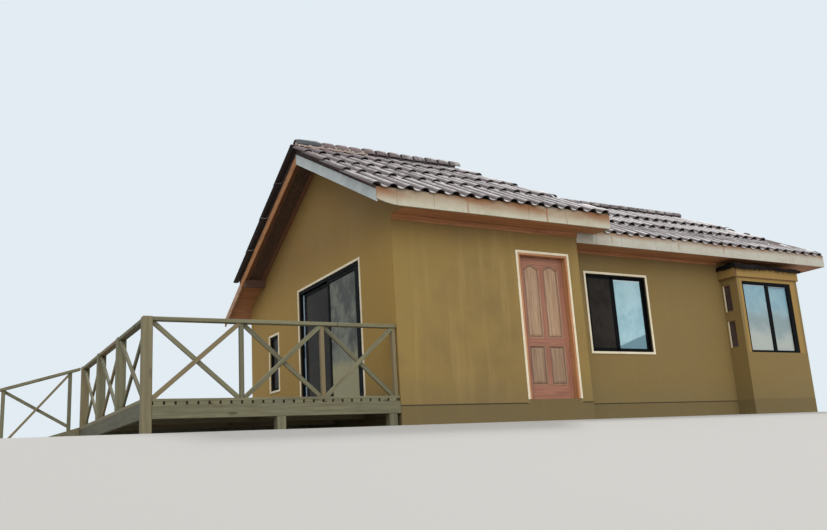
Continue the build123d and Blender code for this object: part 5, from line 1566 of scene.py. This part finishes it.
view = {"place": (-7.2425, -12.053, -.466), "right": (.8708, -.4879, -.0593), "up": (-.0642, -.2325, .9705),
        "lens": 36.69, "sensor": 36, "clip": (.1, 400)}
cameraData = bpy.data.cameras.new("camera")
camera = bpy.data.objects.new("camera", cameraData)
bpy.context.scene.collection.objects.link(camera)
right, upward = Vector(view["right"]).normalized(), Vector(view["up"])
upward = (upward - right * right.dot(upward)).normalized()
backward = right.cross(upward)
camera.matrix_world = Matrix(((right.x, upward.x, backward.x, view["place"][0]),
                              (right.y, upward.y, backward.y, view["place"][1]),
                              (right.z, upward.z, backward.z, view["place"][2]), (0, 0, 0, 1)))
cameraData.lens, cameraData.sensor_width = view["lens"], view["sensor"]
cameraData.clip_start, cameraData.clip_end = view["clip"]
bpy.context.scene.camera = camera

ground = {"half": 60, "steps": 240, "edge": -3.6, "run": 8.0, "drop": 2.1, "colour": (172, 170, 166),
          "rough": .9}
bpy.ops.mesh.primitive_grid_add(x_subdivisions=2, y_subdivisions=ground["steps"], size=2, location=(0, 0, 0))
floorPiece = bpy.context.object
floorPiece.name = "studio_floor"
floorPiece.scale = (ground["half"], ground["half"], 1)
applyPlace(floorPiece)
for v in floorPiece.data.vertices:
    t = min(1, max(0, (ground["edge"] - v.co.y) / ground["run"]))
    v.co.z = -ground["drop"] * t * t * (3 - 2 * t)
smooth(floorPiece, 60)
floorMaterial = bpy.data.materials.new("paleFloor")
floorMaterial.use_nodes = True
floorShader = floorMaterial.node_tree.nodes["Principled BSDF"]
floorShader.inputs["Base Color"].default_value = paint(ground["colour"])
floorShader.inputs["Roughness"].default_value = ground["rough"]
floorPiece.data.materials.append(floorMaterial)

lights = {"key": ((.62, .42, .78), 1.7, 6), "fill": ((-.28, -.76, .6), 2.0, 70)}  # from, strength, softness
for name, (towards, power, spread) in lights.items():
    lamp = bpy.data.objects.new(name, bpy.data.lights.new(name, "SUN"))
    lamp.data.energy, lamp.data.angle = power, math.radians(spread)
    lamp.rotation_euler = Vector(towards).to_track_quat("Z", "Y").to_euler()
    bpy.context.scene.collection.objects.link(lamp)

sky = {"lit": (242, 242, 242), "strength": .74, "shown": (226, 236, 242)}  # what gives light, what is seen
world = bpy.data.worlds.new("studio")
bpy.context.scene.world = world
world.use_nodes = True
tree = world.node_tree
tree.nodes.clear()
rays = node(tree, "ShaderNodeLightPath").outputs
seen = calc(tree, "MAXIMUM", rays["Is Camera Ray"], rays["Is Glossy Ray"])
seen = calc(tree, "MAXIMUM", seen, rays["Is Transmission Ray"])
lit = node(tree, "ShaderNodeBackground", {"Color": paint(sky["lit"]), "Strength": sky["strength"]})
shown = node(tree, "ShaderNodeBackground", {"Color": paint(sky["shown"]), "Strength": 1.0})
mixed = node(tree, "ShaderNodeMixShader", {0: seen, 1: lit.outputs[0], 2: shown.outputs[0]})
node(tree, "ShaderNodeOutputWorld", {"Surface": mixed.outputs[0]})

bpy.context.scene.view_settings.view_transform = "Standard"
print("studio set")

bpy.context.view_layer.update()
